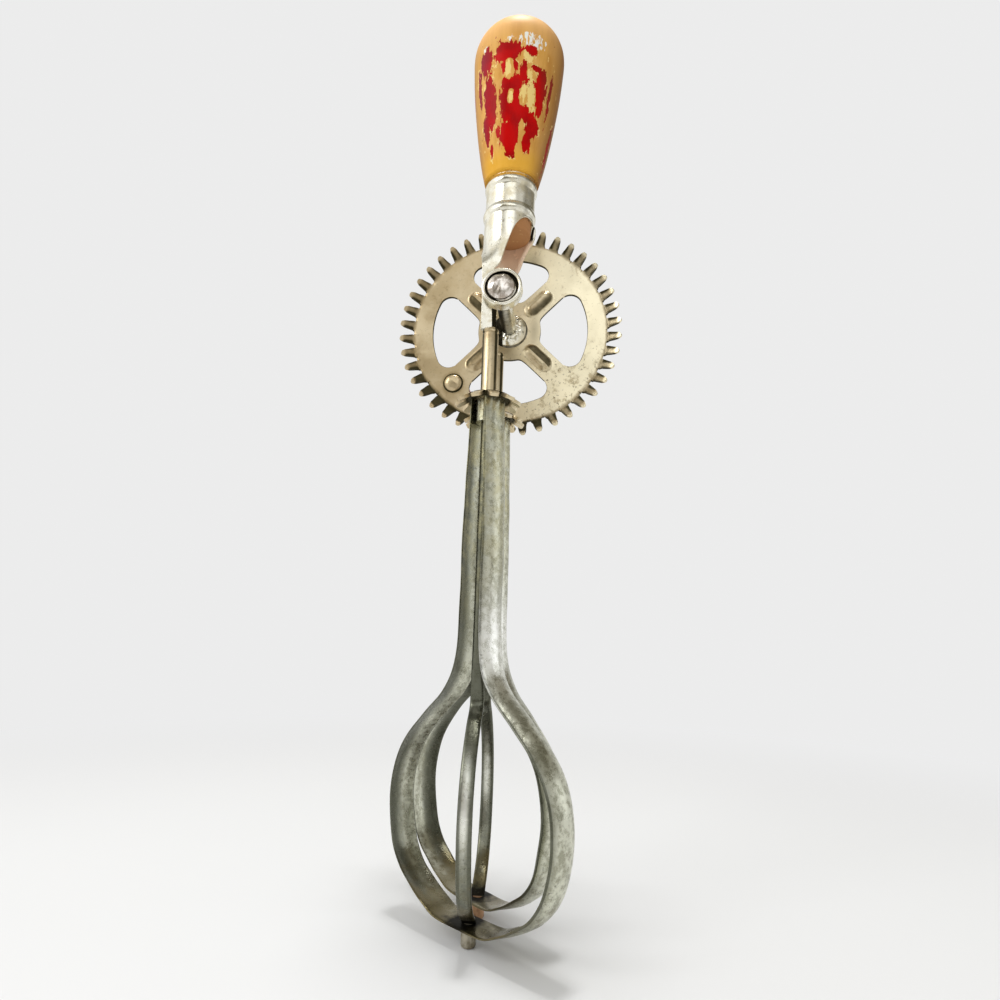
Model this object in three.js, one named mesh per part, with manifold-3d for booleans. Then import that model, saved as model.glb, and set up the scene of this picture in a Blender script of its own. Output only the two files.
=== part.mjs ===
// Rotary egg beater, in millimetres, +Z up.
// The origin is the middle of the flat under the front foot. The front dasher turns on the Z axis,
// the rear dasher on a parallel axis further along +Y, and the drive wheel stands behind them both.
import * as THREE from 'three';
import { mergeVertices } from 'three/addons/utils/BufferGeometryUtils.js';
import Module from 'manifold-3d';

const wasm = await Module();
wasm.setup();

// Gear train: the wheel's bent teeth cross the bent teeth of the rear pinion, which turns the front one
const toothPitch = 5.43;
const wheelTeeth = 42;
const pinionTeeth = 10;
const wheelSheet = 1;
const wheelDedendum = 2.8;
const wheelToothLength = 5.2;
const wheelToothBend = THREE.MathUtils.degToRad(26);
const wheelToothRoot = 3.7;
const wheelToothTip = 2;
const wheelPhaseShare = 0.5;
const pinionSheet = 1;
const pinionDedendum = 2.65;
const pinionToothLength = 4.2;
const pinionToothBend = THREE.MathUtils.degToRad(30);
const pinionToothRoot = 2.8;
const pinionToothTip = 1.7;
const toothOverlap = 0.6;

// Wheel: four windows, pressed ribs on the spokes and a bush that turns on the axle
const axleHeight = 179.7;
const axleOffset = 3.1;
const spokeHalfWidth = 4.2;
const hubDiscRadius = 10.8;
const windowRadius = 26.8;
const ribWidth = 4.6;
const ribInner = 8.6;
const ribOuter = 19.6;
const ribDepth = 1.3;
const ribSheet = 0.7;
const bushRadius = 5;
const bushHeight = 2.6;
const bushNeck = 3.3;
const bushLip = 4.4;
const bushLipHeight = 0.9;

// Axle stud, riveted in the front ear, with a thinner shank through the wheel
const axleRadius = 2.6;
const shankRadius = 1.9;
const axleHeadRadius = 3.9;
const axleHeadHeight = 1.7;
const tailHeadRadius = 3;
const tailHeadHeight = 1.2;
const washerRadius = 4.2;
const washerThickness = 0.8;

// Crank: a rivet through the wheel that carries the turning knob on its far side
const crankRadius = 26.75;
const crankAngle = THREE.MathUtils.degToRad(-134.8);
const crankHeadRadius = 3;
const crankHeadHeight = 1.1;
const crankPinRadius = 1.7;
const crankCollarRadius = 3.4;
const crankCollarHeight = 1.2;
const knobLength = 12.5;
const knobRadius = 4.6;
const knobWaistRadius = 3.4;
const knobWasherRadius = 2.8;

// Handle and ferrule, which lean together to the right above the legs
const handleOffset = 3.5;
const handleLean = THREE.MathUtils.degToRad(1.7);
const handleRise = 42.7;
const handleLength = 60.1;
const handleRadius = 15.4;
const handleShoulderRadius = 8.9;
const tenonLength = 19;
const ferruleRadius = 8;
const ferruleWall = 0.8;
const beadHeight = 0.6;
const beadHalfWidth = 1.8;
const upperBeadDrop = 2.6;
const lowerBeadDrop = 12.6;
const ferruleBand = 15;

// Legs: the ferrule's front and rear walls run down, narrow and flatten into strips
const legLeft = 3.1;
const frontLegRight = 0.3;
const rearLegRight = -0.15;
const legFlatRise = 8;
const legBlendLength = 13;
const earRadius = 6.2;
const earRecessRadius = 5.1;
const earThickness = 0.9;
const earRim = 1.4;
const earLift = 1.4;
const postDrop = 12.8;
const postRadius = 2.4;
const rodRadius = 1.8;

// Dashers: one bent strip each, on a collar under its pinion
const footHeight = 4.8;
const stripWidth = 8.7;
const stripThickness = 0.8;
const stripCamber = 1.2;
const bulbRadius = 30.7;
const shoulderHeight = 64;
const shoulderRadius = 6.2;
const collarRadius = 3.4;
const collarHeight = 7;
const restAngle = THREE.MathUtils.degToRad(-38);
const pinRadius = 1.4;
const footRadius = 1.95;
const footFlat = 1.3;

// Arms: a rod through each dasher, flattened below and bowed round the other dasher's path
const armWidth = 4.3;
const armThickness = 1.1;
const rodFadeLength = 16;

// Clearances
const slipFit = 0.05;
const runningFit = 0.08;
const endPlay = 0.2;
const seatGap = 0.1;
const sweepClearance = 0.9;
const overrun = 2;

// Fineness of the facets
const fineSteps = 32;
const roundSteps = 20;
const pinSteps = 12;
const mergeTolerance = 1e-4;

// Places that follow from the sizes above
const wheelPitchRadius = (wheelTeeth * toothPitch) / (2 * Math.PI);
const pinionPitchRadius = (pinionTeeth * toothPitch) / (2 * Math.PI);
const shaftSpacing = 2 * pinionPitchRadius;
const wheelRimRadius = wheelPitchRadius - wheelDedendum;
const pinionDiscRadius = pinionPitchRadius - pinionDedendum;
const wheelY = shaftSpacing + pinionPitchRadius + wheelDedendum * Math.tan(wheelToothBend);
const meshHeight = axleHeight - wheelPitchRadius;
const pinionMid = meshHeight + pinionDedendum * Math.tan(pinionToothBend);
const pinionTop = pinionMid + pinionSheet / 2;
const pinionUnder = pinionMid - pinionSheet / 2;
const handleY = shaftSpacing / 2;
const handleBottom = axleHeight + handleRise;
const tenonBottom = handleBottom - tenonLength;
const bandBottom = handleBottom - ferruleBand;
const flattenBottom = axleHeight + legFlatRise;
const flattenTop = flattenBottom + legBlendLength;
const postTop = axleHeight - postDrop;
const tubeMidRadius = ferruleRadius - ferruleWall / 2;
const earFloor = -earThickness / 2 - earLift;
const stripMid = footHeight + stripThickness / 2;
const neckTop = pinionUnder - seatGap;
const neckRadius = collarRadius + slipFit + stripThickness / 2;
const armEnd = stripMid + stripThickness / 2 + seatGap;
const rodBore = rodRadius + runningFit;
const shankBore = shankRadius + runningFit;
const knobBore = crankPinRadius + runningFit;
const pivotBore = pinRadius + runningFit;

// Finishes
const nickel = { color: 0xc9c4ae, roughness: 0.28, metalness: 0.95 };
const wheelNickel = { color: 0xb8a888, roughness: 0.4, metalness: 0.9 };
const tinned = { color: 0x8f918a, roughness: 0.45, metalness: 0.85 };
const copper = { color: 0xb08a62, roughness: 0.4, metalness: 0.85 };
const paintedWood = { color: 0xd9a050, roughness: 0.45, metalness: 0 };
const redWood = { color: 0xb01812, roughness: 0.4, metalness: 0 };

// Drops triangles that have no area after their corners are merged, and turns an inside-out mesh round
function closedGeometry(geometry) {
  const bare = new THREE.BufferGeometry();
  bare.setAttribute('position', geometry.getAttribute('position').clone());
  if (geometry.index) bare.setIndex(geometry.index.clone());
  const merged = mergeVertices(bare, mergeTolerance);
  const corners = [];
  for (let i = 0; i < merged.index.count; i += 3) {
    const [a, b, c] = [0, 1, 2].map((k) => merged.index.getX(i + k));
    if (a !== b && b !== c && c !== a) corners.push(a, b, c);
  }
  if (signedVolume(merged.getAttribute('position'), corners) < 0) corners.reverse();
  merged.setIndex(corners);
  merged.computeVertexNormals();
  return merged;
}

function signedVolume(position, corners) {
  const [a, b, c] = [new THREE.Vector3(), new THREE.Vector3(), new THREE.Vector3()];
  let sum = 0;
  for (let i = 0; i < corners.length; i += 3) {
    a.fromBufferAttribute(position, corners[i]);
    b.fromBufferAttribute(position, corners[i + 1]);
    c.fromBufferAttribute(position, corners[i + 2]);
    sum += a.dot(b.cross(c));
  }
  return sum;
}

function toSolid(geometry) {
  const closed = closedGeometry(geometry);
  const vertProperties = new Float32Array(closed.getAttribute('position').array);
  const triVerts = new Uint32Array(closed.index.array);
  return new wasm.Manifold(new wasm.Mesh({ numProp: 3, vertProperties, triVerts }));
}

function toGeometry(solid) {
  const mesh = solid.getMesh();
  const geometry = new THREE.BufferGeometry();
  geometry.setAttribute('position', new THREE.BufferAttribute(new Float32Array(mesh.vertProperties), 3));
  geometry.setIndex(new THREE.BufferAttribute(new Uint32Array(mesh.triVerts), 1));
  geometry.computeVertexNormals();
  return geometry;
}

// A body turned about Y through pairs of radius and height along Y
function turnedY(pairs, steps) {
  return closedGeometry(new THREE.LatheGeometry(pairs.map(([r, h]) => new THREE.Vector2(r, h)), steps));
}

// The same body stood upright, turned about Z
function turnedZ(pairs, steps) {
  return turnedY(pairs, steps).rotateX(Math.PI / 2);
}

// A closed body through a row of rings with equal numbers of points. The end rings are closed by
// strips between their two long sides, so a hollow section such as a channel closes too.
function loft(rings) {
  const count = rings[0].length;
  const corners = [];
  const points = rings.flat();
  for (let r = 0; r < rings.length - 1; r += 1) {
    for (let i = 0; i < count; i += 1) {
      const j = (i + 1) % count;
      const [a, b, c, d] = [r * count + i, r * count + j, (r + 1) * count + j, (r + 1) * count + i];
      corners.push(a, b, c, a, c, d);
    }
  }
  const last = (rings.length - 1) * count;
  for (let i = 0; i < count / 2 - 1; i += 1) {
    const [a, b, c, d] = [i, i + 1, count - 2 - i, count - 1 - i];
    corners.push(a, c, b, a, d, c);
    corners.push(last + a, last + b, last + c, last + a, last + c, last + d);
  }
  const geometry = new THREE.BufferGeometry();
  const flat = points.flatMap((p) => [p.x, p.y, p.z]);
  geometry.setAttribute('position', new THREE.Float32BufferAttribute(flat, 3));
  geometry.setIndex(corners);
  return closedGeometry(geometry);
}

// One sheet tooth on a disc about Z, along +X: it starts inside the disc's edge, bends down at the edge
// and narrows to a rounded tip. Each row holds shares of the tooth's length and of its root and tip widths.
const toothRowShares = [
  [0.04, 1, 0],
  [0.34, 0.4, 0.6],
  [0.8, 0, 1],
  [1, 0, 0.5],
];

function tooth(size) {
  const half = size.sheet / 2;
  const ring = (along, lift, width, lean) =>
    [[-1, -1], [1, -1], [1, 1], [-1, 1]].map(([side, up]) => new THREE.Vector3(
      size.discRadius + along + up * half * Math.sin(lean),
      (side * width) / 2,
      lift + up * half * Math.cos(lean),
    ));
  const rings = [ring(-toothOverlap, 0, size.rootWidth, 0)];
  for (const [lengthShare, rootShare, tipShare] of toothRowShares) {
    const reach = size.length * lengthShare;
    const width = size.rootWidth * rootShare + size.tipWidth * tipShare;
    rings.push(ring(reach * Math.cos(size.bend), -reach * Math.sin(size.bend), width, size.bend));
  }
  return toSolid(loft(rings));
}

// Adds equally spaced teeth to a disc
function addTeeth(disc, size, count, phase) {
  const one = tooth(size);
  let body = disc;
  for (let i = 0; i < count; i += 1) {
    const degrees = ((i + phase) * 360) / count;
    body = body.add(one.rotate([0, 0, degrees]));
  }
  return body;
}

function polar(radius, angle) {
  return [radius * Math.cos(angle), radius * Math.sin(angle)];
}

function circlePoints(x, y, radius, count) {
  const points = [];
  for (let i = 0; i < count; i += 1) {
    const [u, v] = polar(radius, (i * 2 * Math.PI) / count);
    points.push(new THREE.Vector2(x + u, y + v));
  }
  return points;
}

// One window of the wheel about +X: inner arc, two edges along the spokes and outer arc, corners rounded.
// The shares say how much of each arc and edge is left between the rounded corners.
const innerArcShare = 0.45;
const outerArcShare = 0.72;
const edgeStartShare = 0.22;
const edgeEndShare = 0.78;

function windowPath(turn) {
  const edgeAngle = (radius) => Math.PI / 4 - Math.asin(spokeHalfWidth / radius);
  const inner = edgeAngle(hubDiscRadius);
  const outer = edgeAngle(windowRadius);
  const edgePoint = (share, side) => {
    const radius = hubDiscRadius + (windowRadius - hubDiscRadius) * share;
    return polar(radius, turn + side * edgeAngle(radius));
  };
  const path = new THREE.Path();
  path.moveTo(...polar(hubDiscRadius, turn + inner * innerArcShare));
  path.absarc(0, 0, hubDiscRadius, turn + inner * innerArcShare, turn - inner * innerArcShare, true);
  path.quadraticCurveTo(...polar(hubDiscRadius, turn - inner), ...edgePoint(edgeStartShare, -1));
  path.lineTo(...edgePoint(edgeEndShare, -1));
  path.quadraticCurveTo(...polar(windowRadius, turn - outer), ...polar(windowRadius, turn - outer * outerArcShare));
  path.absarc(0, 0, windowRadius, turn - outer * outerArcShare, turn + outer * outerArcShare, false);
  path.quadraticCurveTo(...polar(windowRadius, turn + outer), ...edgePoint(edgeEndShare, 1));
  path.lineTo(...edgePoint(edgeStartShare, 1));
  path.quadraticCurveTo(...polar(hubDiscRadius, turn + inner), ...polar(hubDiscRadius, turn + inner * innerArcShare));
  return path;
}

// A pressed rib along the spoke at 45 degrees: a half-buried capsule, scaled across the sheet
function ribSolid(width, depth) {
  const length = ribOuter - ribInner - ribWidth;
  const capsule = new THREE.CapsuleGeometry(width / 2, length, 2, 8, 1);
  capsule.rotateZ(-Math.PI / 2);
  capsule.scale(1, 1, (2 * depth) / width);
  capsule.translate((ribInner + ribOuter) / 2, 0, 0);
  return toSolid(capsule.rotateZ(Math.PI / 4));
}

// The drive wheel about its own Z axis, with the front side down
function wheelGeometry() {
  const outline = new THREE.Shape(circlePoints(0, 0, wheelRimRadius, 2 * wheelTeeth));
  for (let i = 0; i < 4; i += 1) outline.holes.push(windowPath((i * Math.PI) / 2));
  outline.holes.push(new THREE.Path(circlePoints(0, 0, bushNeck + slipFit, roundSteps)));
  const rivet = polar(crankRadius, -crankAngle);
  outline.holes.push(new THREE.Path(circlePoints(...rivet, crankPinRadius + slipFit, roundSteps)));
  const sheet = new THREE.ExtrudeGeometry(outline, { depth: wheelSheet, bevelEnabled: false, curveSegments: 5 });
  sheet.translate(0, 0, -wheelSheet / 2);
  const size = {
    sheet: wheelSheet,
    discRadius: wheelRimRadius,
    length: wheelToothLength,
    bend: wheelToothBend,
    rootWidth: wheelToothRoot,
    tipWidth: wheelToothTip,
  };
  let body = addTeeth(toSolid(sheet), size, wheelTeeth, wheelPhaseShare);
  const rib = ribSolid(ribWidth, wheelSheet / 2 + ribDepth);
  const hollow = ribSolid(ribWidth - 2 * ribSheet, wheelSheet / 2 + ribDepth - ribSheet);
  const behind = new THREE.BoxGeometry(4 * wheelRimRadius, 4 * wheelRimRadius, wheelRimRadius);
  behind.translate(0, 0, wheelRimRadius / 2 + wheelSheet / 2);
  const back = toSolid(behind);
  for (let i = 0; i < 4; i += 1) {
    const turn = [0, 0, i * 90];
    body = body.add(rib.rotate(turn).subtract(back));
    body = body.subtract(hollow.rotate(turn));
  }
  return toGeometry(body);
}

// One crown pinion about Z: a flat disc with a bore and ten teeth bent down
function pinionGeometry(phase) {
  const half = pinionSheet / 2;
  const disc = turnedZ([
    [rodBore, -half],
    [pinionDiscRadius, -half],
    [pinionDiscRadius, half],
    [rodBore, half],
    [rodBore, -half],
  ], fineSteps);
  const size = {
    sheet: pinionSheet,
    discRadius: pinionDiscRadius,
    length: pinionToothLength,
    bend: pinionToothBend,
    rootWidth: pinionToothRoot,
    tipWidth: pinionToothTip,
  };
  return toGeometry(addTeeth(toSolid(disc), size, pinionTeeth, phase));
}

// The collar under a pinion, which carries the strip's two upper ends
function pinionHubGeometry() {
  return turnedZ([
    [rodBore, -collarHeight],
    [collarRadius, -collarHeight],
    [collarRadius, 0],
    [rodBore, 0],
    [rodBore, -collarHeight],
  ], roundSteps);
}

// Half of a dasher's outline, bottom to shoulder, as shares of the bulb's radius and of the shoulder's height
const bulbShares = [
  [0.28, 0.004],
  [0.42, 0.025],
  [0.55, 0.047],
  [0.66, 0.075],
  [0.79, 0.12],
  [0.9, 0.19],
  [0.965, 0.285],
  [1, 0.395],
  [0.98, 0.503],
  [0.91, 0.597],
  [0.775, 0.69],
  [0.57, 0.785],
  [0.325, 0.89],
];

// The strip's middle line in its own plane: down one side, across the pivot and up the other
function stripCurve() {
  const half = [new THREE.Vector3(0, 0, stripMid)];
  for (const [radiusShare, heightShare] of bulbShares) {
    half.push(new THREE.Vector3(bulbRadius * radiusShare, 0, stripMid + shoulderHeight * heightShare));
  }
  const shoulderTop = stripMid + shoulderHeight;
  half.push(new THREE.Vector3(shoulderRadius, 0, shoulderTop));
  half.push(new THREE.Vector3((shoulderRadius + neckRadius) / 2, 0, (shoulderTop + neckTop) / 2));
  half.push(new THREE.Vector3(neckRadius, 0, neckTop));
  const mirrored = half.slice(1).map((p) => new THREE.Vector3(-p.x, 0, p.z)).reverse();
  return new THREE.CatmullRomCurve3([...mirrored, ...half], false, 'centripetal');
}

// The channel section of the strip: flat in its middle, with both margins bent inwards, less near the pivot
const flatShare = 0.45;
const sectionShares = [-1, -flatShare, flatShare, 1];
const flatNearPivot = 13;

function stripRing(point, tangent) {
  const across = new THREE.Vector3(0, 1, 0);
  const outward = new THREE.Vector3().crossVectors(across, tangent).normalize();
  const fade = THREE.MathUtils.smoothstep(Math.abs(point.x) + point.z - stripMid, flatNearPivot, 2 * flatNearPivot);
  const sag = (share) => (stripCamber * fade * (share ** 2 - flatShare ** 2)) / (1 - flatShare ** 2);
  const place = (share, face) => point.clone()
    .addScaledVector(across, (share * stripWidth) / 2)
    .addScaledVector(outward, (face * stripThickness) / 2 - sag(share));
  const outer = sectionShares.map((share) => place(share, 1));
  const inner = sectionShares.map((share) => place(share, -1)).reverse();
  return [...outer, ...inner];
}

function bladeGeometry() {
  const curve = stripCurve();
  const steps = 2 * (curve.points.length - 1);
  const rings = [];
  for (let i = 0; i <= steps; i += 1) {
    const tangent = curve.getTangent(i / steps);
    if (i === 0 || i === steps) tangent.set(0, 0, Math.sign(tangent.z));
    rings.push(stripRing(curve.getPoint(i / steps), tangent));
  }
  const strip = toSolid(loft(rings));
  const drill = new THREE.CylinderGeometry(pivotBore, pivotBore, 2 * overrun, pinSteps);
  drill.rotateX(Math.PI / 2).translate(0, 0, stripMid);
  return toGeometry(strip.subtract(toSolid(drill)));
}

// Where the other dasher sweeps: its strip's outer corners, pushed out square to its path by the
// clearance and both half thicknesses. The arm follows this line wherever it lies past the arm's own axis.
function armPath() {
  const curve = stripCurve();
  const steps = 2 * (curve.points.length - 1);
  const push = stripThickness / 2 + armThickness / 2 + sweepClearance;
  const path = [];
  for (let i = steps / 2; i <= steps; i += 1) {
    const p = curve.getPoint(i / steps);
    const t = curve.getTangent(i / steps);
    const reach = Math.hypot(p.x, stripWidth / 2) + push * t.z;
    const height = p.z - push * t.x;
    if (reach > shaftSpacing && height > armEnd + armThickness) path.push([reach - shaftSpacing, height]);
  }
  return path;
}

// A section that goes from a round rod to a flat strip with rounded edges
const squareness = 0.55;

function armRing(offset, height, lean, flatness) {
  const width = THREE.MathUtils.lerp(rodRadius, armWidth / 2, flatness);
  const thick = THREE.MathUtils.lerp(rodRadius, armThickness / 2, flatness);
  const power = THREE.MathUtils.lerp(1, squareness, flatness);
  const ring = [];
  for (let i = 0; i < pinSteps; i += 1) {
    const angle = ((i + 0.5) * 2 * Math.PI) / pinSteps;
    const [c, s] = [Math.cos(angle), Math.sin(angle)];
    const u = width * Math.sign(c) * Math.abs(c) ** power;
    const v = thick * Math.sign(s) * Math.abs(s) ** power;
    ring.push(new THREE.Vector3(u, offset + v * Math.cos(lean), height + v * Math.sin(lean)));
  }
  return ring;
}

// One arm, bowed towards +Y: strip from the pivot round the bow, then rod up to the top of its post
function armGeometry() {
  const bow = armPath();
  const points = [[0, armEnd, 1], ...bow.map(([offset, height]) => [offset, height, 1])];
  const rodStart = bow[bow.length - 1][1] + rodFadeLength;
  points.push([0, rodStart, 0], [0, postTop, 0]);
  const rings = points.map(([offset, height, flatness], i) => {
    const [before, after] = [points[Math.max(i - 1, 0)], points[Math.min(i + 1, points.length - 1)]];
    const level = i === 0 || i === points.length - 1 || height === rodStart;
    const lean = level ? 0 : Math.atan2(-(after[0] - before[0]), after[1] - before[1]);
    return armRing(offset, height, lean, flatness);
  });
  return loft(rings);
}

// The pin through the strip and the rounded foot under it
function footGeometry() {
  const shoulder = footHeight - seatGap;
  const footEdge = (footRadius - footFlat) / 3;
  return turnedZ([
    [0, 0],
    [footFlat, 0],
    [footRadius - footEdge, footEdge],
    [footRadius, 3 * footEdge],
    [footRadius, shoulder],
    [pinRadius, shoulder],
    [pinRadius, armEnd],
    [0, armEnd],
  ], pinSteps);
}

// A wall outline in the XZ plane, carried through the whole depth of one half of the ferrule
function wallPrism(points, yFrom, yTo) {
  const shape = new THREE.Shape(points.map(([x, z]) => new THREE.Vector2(x, z)));
  const prism = new THREE.ExtrudeGeometry(shape, { depth: yTo - yFrom, bevelEnabled: false });
  prism.rotateX(Math.PI / 2).translate(0, yTo, 0);
  return toSolid(prism);
}

// The ferrule's tube with its two beads, long enough for the legs, with rings where the walls flatten
function tubeSolid() {
  const rows = [];
  const bead = (drop) => {
    const middle = handleBottom - drop;
    rows.push([0, middle + beadHalfWidth], [beadHeight, middle + beadHalfWidth / 4]);
    rows.push([beadHeight, middle - beadHalfWidth / 4], [0, middle - beadHalfWidth]);
  };
  rows.push([0, handleBottom]);
  bead(upperBeadDrop);
  bead(lowerBeadDrop);
  rows.push([0, bandBottom]);
  const legSteps = 7;
  for (let i = 0; i <= legSteps; i += 1) {
    rows.push([0, THREE.MathUtils.lerp(tenonBottom, postTop, i / legSteps)]);
  }
  const outer = rows.map(([lift, z]) => [ferruleRadius + lift, z]);
  const inner = rows.map(([lift, z]) => [ferruleRadius - ferruleWall + lift, z]).reverse();
  const tube = turnedZ([...outer, ...inner, outer[0]], fineSteps);
  return toSolid(tube.translate(handleOffset, handleY, 0));
}

// Edges of the two legs: heights between the post and the band, and how far each edge has moved
// from the strip's edge (0) to the tube's side (1)
const leftEdgeShares = [[0, 0], [0.3, 0], [0.59, 0.25], [0.95, 1]];
const frontRightShares = [[0, 0], [0.51, 0], [0.553, 0.12], [0.72, 0.27], [0.91, 0.47], [1, 0.72]];
const rearRightShares = [[0, 0], [0.455, 0], [0.75, 0.445], [0.81, 0.51], [0.88, 0.635], [0.95, 0.86], [1, 1]];

function legOutline(rightShares, rightEdge) {
  const tubeLeft = handleOffset - ferruleRadius - overrun;
  const tubeRight = handleOffset + ferruleRadius + overrun;
  const height = (share) => THREE.MathUtils.lerp(postTop, bandBottom, share);
  const left = leftEdgeShares.map(([h, s]) => [THREE.MathUtils.lerp(-legLeft, tubeLeft, s), height(h)]);
  const right = rightShares.map(([h, s]) => [THREE.MathUtils.lerp(rightEdge, tubeRight, s), height(h)]);
  const top = handleBottom + overrun;
  return [...left, [tubeLeft, top], [tubeRight, top], ...right.reverse()];
}

// Moves the lower walls in Y, from the tube's round wall to a flat strip in the plane of each dasher axis
function flattenWalls(geometry) {
  const position = geometry.getAttribute('position');
  for (let i = 0; i < position.count; i += 1) {
    const [x, y, z] = [position.getX(i), position.getY(i), position.getZ(i)];
    const blend = 1 - THREE.MathUtils.smoothstep(z, flattenBottom, flattenTop);
    const side = y < handleY ? -1 : 1;
    const across = Math.min(Math.abs(x - handleOffset), tubeMidRadius);
    const wall = handleY + side * Math.sqrt(tubeMidRadius ** 2 - across ** 2);
    const strip = side < 0 ? 0 : shaftSpacing;
    position.setY(i, y + blend * (strip - wall));
  }
  return geometry;
}

// Leans the handle and the ferrule to the right, from the end of the tenon upwards
function lean(geometry) {
  const position = geometry.getAttribute('position');
  for (let i = 0; i < position.count; i += 1) {
    const rise = Math.max(position.getZ(i) - tenonBottom, 0);
    position.setX(i, position.getX(i) + rise * Math.tan(handleLean));
  }
  return geometry;
}

// The ear on the front leg: a cup with a raised rim and a hole for the axle
function earSolid() {
  const back = earThickness / 2;
  const front = earFloor - earRim;
  const bore = axleRadius + slipFit;
  const rimRound = (earRadius - earRecessRadius) / 3;
  const ear = turnedY([
    [bore, earFloor + earThickness],
    [earRecessRadius, earFloor + earThickness],
    [earRecessRadius, back],
    [earRadius, back],
    [earRadius, front + rimRound],
    [earRadius - rimRound, front],
    [earRecessRadius, front],
    [earRecessRadius - rimRound, earFloor],
    [bore, earFloor],
    [bore, earFloor + earThickness],
  ], fineSteps);
  return toSolid(ear.translate(axleOffset, 0, axleHeight));
}

function frameGeometry() {
  const tube = tubeSolid();
  const depth = ferruleRadius + overrun;
  const front = wallPrism(legOutline(frontRightShares, frontLegRight), handleY - depth, handleY);
  const rear = wallPrism(legOutline(rearRightShares, rearLegRight), handleY, handleY + depth);
  const walls = toSolid(lean(flattenWalls(toGeometry(tube.intersect(front.add(rear))))));
  const holeRadius = (earRadius + earRecessRadius) / 2;
  const earHole = new THREE.CylinderGeometry(holeRadius, holeRadius, 2 * overrun, fineSteps);
  earHole.translate(axleOffset, 0, axleHeight);
  return toGeometry(walls.subtract(toSolid(earHole)).add(earSolid()));
}

// The rolled sleeve between a leg and its pinion
function postGeometry() {
  const bottom = pinionTop + endPlay;
  const bore = rodRadius + slipFit;
  return turnedZ([
    [bore, bottom],
    [postRadius, bottom],
    [postRadius, postTop],
    [bore, postTop],
    [bore, bottom],
  ], roundSteps);
}

// Wood of the handle: heights as shares of its length, radii as shares of the way from shoulder to widest
const handleShares = [[0, 0], [0.1, 0.22], [0.28, 0.52], [0.54, 0.84], [0.7, 0.965]];
const domeShare = 0.78;

function handleGeometry() {
  const tenonRadius = ferruleRadius - ferruleWall - slipFit;
  const points = handleShares.map(([h, s]) => new THREE.Vector3(
    THREE.MathUtils.lerp(handleShoulderRadius, handleRadius, s),
    handleBottom + handleLength * h,
    0,
  ));
  const domeBase = handleBottom + handleLength * domeShare;
  points.push(new THREE.Vector3(handleRadius, domeBase, 0));
  const side = new THREE.CatmullRomCurve3(points).getPoints(8).map((p) => [p.x, p.y]);
  const domeSteps = 5;
  const dome = [];
  for (let i = 1; i < domeSteps; i += 1) {
    const angle = ((i / domeSteps) * Math.PI) / 2;
    const rise = (handleLength - handleLength * domeShare) * Math.sin(angle);
    dome.push([handleRadius * Math.cos(angle), domeBase + rise]);
  }
  const profile = [
    [0, tenonBottom],
    [tenonRadius, tenonBottom],
    [tenonRadius, handleBottom],
    ...side,
    ...dome,
    [0, handleBottom + handleLength],
  ];
  return lean(turnedZ(profile, fineSteps).translate(handleOffset, handleY, 0));
}

// A low dome as pairs of radius and height, from its edge to its middle
function domePairs(radius, height, base, direction) {
  const steps = 4;
  const pairs = [];
  for (let i = 0; i <= steps; i += 1) {
    const angle = ((i / steps) * Math.PI) / 2;
    pairs.push([radius * Math.cos(angle), base + direction * height * Math.sin(angle)]);
  }
  pairs[steps][0] = 0;
  return pairs;
}

// Places along the axle, front to back
const bushFront = wheelY - wheelSheet / 2 - bushHeight;
const bushBack = wheelY + wheelSheet / 2 + bushLipHeight;
const washerFront = bushBack + endPlay;
const washerBack = washerFront + washerThickness;

// The stud: domed head in the ear's cup, thick shaft to the bush, thin shank and riveted tail
const headSideShare = 0.4;

function axleStudGeometry() {
  const headEdge = earFloor - axleHeadHeight * headSideShare;
  const dome = domePairs(axleHeadRadius, axleHeadHeight * (1 - headSideShare), headEdge, -1);
  const shaftEnd = bushFront - endPlay;
  const tail = domePairs(tailHeadRadius, tailHeadHeight, washerBack + seatGap, 1);
  const stud = turnedY([
    ...dome.reverse(),
    [axleHeadRadius, earFloor],
    [axleRadius, earFloor],
    [axleRadius, shaftEnd],
    [shankRadius, shaftEnd],
    [shankRadius, washerBack + seatGap],
    ...tail,
  ], roundSteps);
  return stud.translate(axleOffset, 0, axleHeight);
}

function washerGeometry(bore, radius, from, thickness) {
  return turnedY([
    [bore, from],
    [radius, from],
    [radius, from + thickness],
    [bore, from + thickness],
    [bore, from],
  ], roundSteps);
}

// The wheel's bush: boss in front, neck through the sheet, rolled lip behind
function bushGeometry() {
  const front = -wheelSheet / 2 - bushHeight;
  const edge = bushHeight / 4;
  return turnedY([
    [shankBore, front],
    [bushRadius - edge, front],
    [bushRadius, front + edge],
    [bushRadius, -wheelSheet / 2],
    [bushNeck, -wheelSheet / 2],
    [bushNeck, wheelSheet / 2],
    [bushLip, wheelSheet / 2],
    [bushLip, wheelSheet / 2 + bushLipHeight],
    [shankBore, wheelSheet / 2 + bushLipHeight],
    [shankBore, front],
  ], roundSteps);
}

// Places along the crank pin, from the wheel's plane backwards
const collarBack = wheelSheet / 2 + crankCollarHeight;
const knobFront = collarBack + endPlay;
const knobBack = knobFront + knobLength;
const knobRecess = washerThickness + endPlay;
const knobWasherFront = knobBack - knobRecess + endPlay;
const crankPinEnd = knobWasherFront + washerThickness + seatGap;

function crankStudGeometry() {
  const front = -wheelSheet / 2;
  const head = domePairs(crankHeadRadius, crankHeadHeight, front, -1);
  const tail = domePairs(crankPinRadius + seatGap, tailHeadHeight / 2, crankPinEnd, 1);
  return turnedY([
    ...head.reverse(),
    [crankPinRadius, front],
    [crankPinRadius, wheelSheet / 2],
    [crankCollarRadius, wheelSheet / 2],
    [crankCollarRadius, collarBack],
    [crankPinRadius, collarBack],
    [crankPinRadius, crankPinEnd],
    ...tail,
  ], roundSteps);
}

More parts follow.
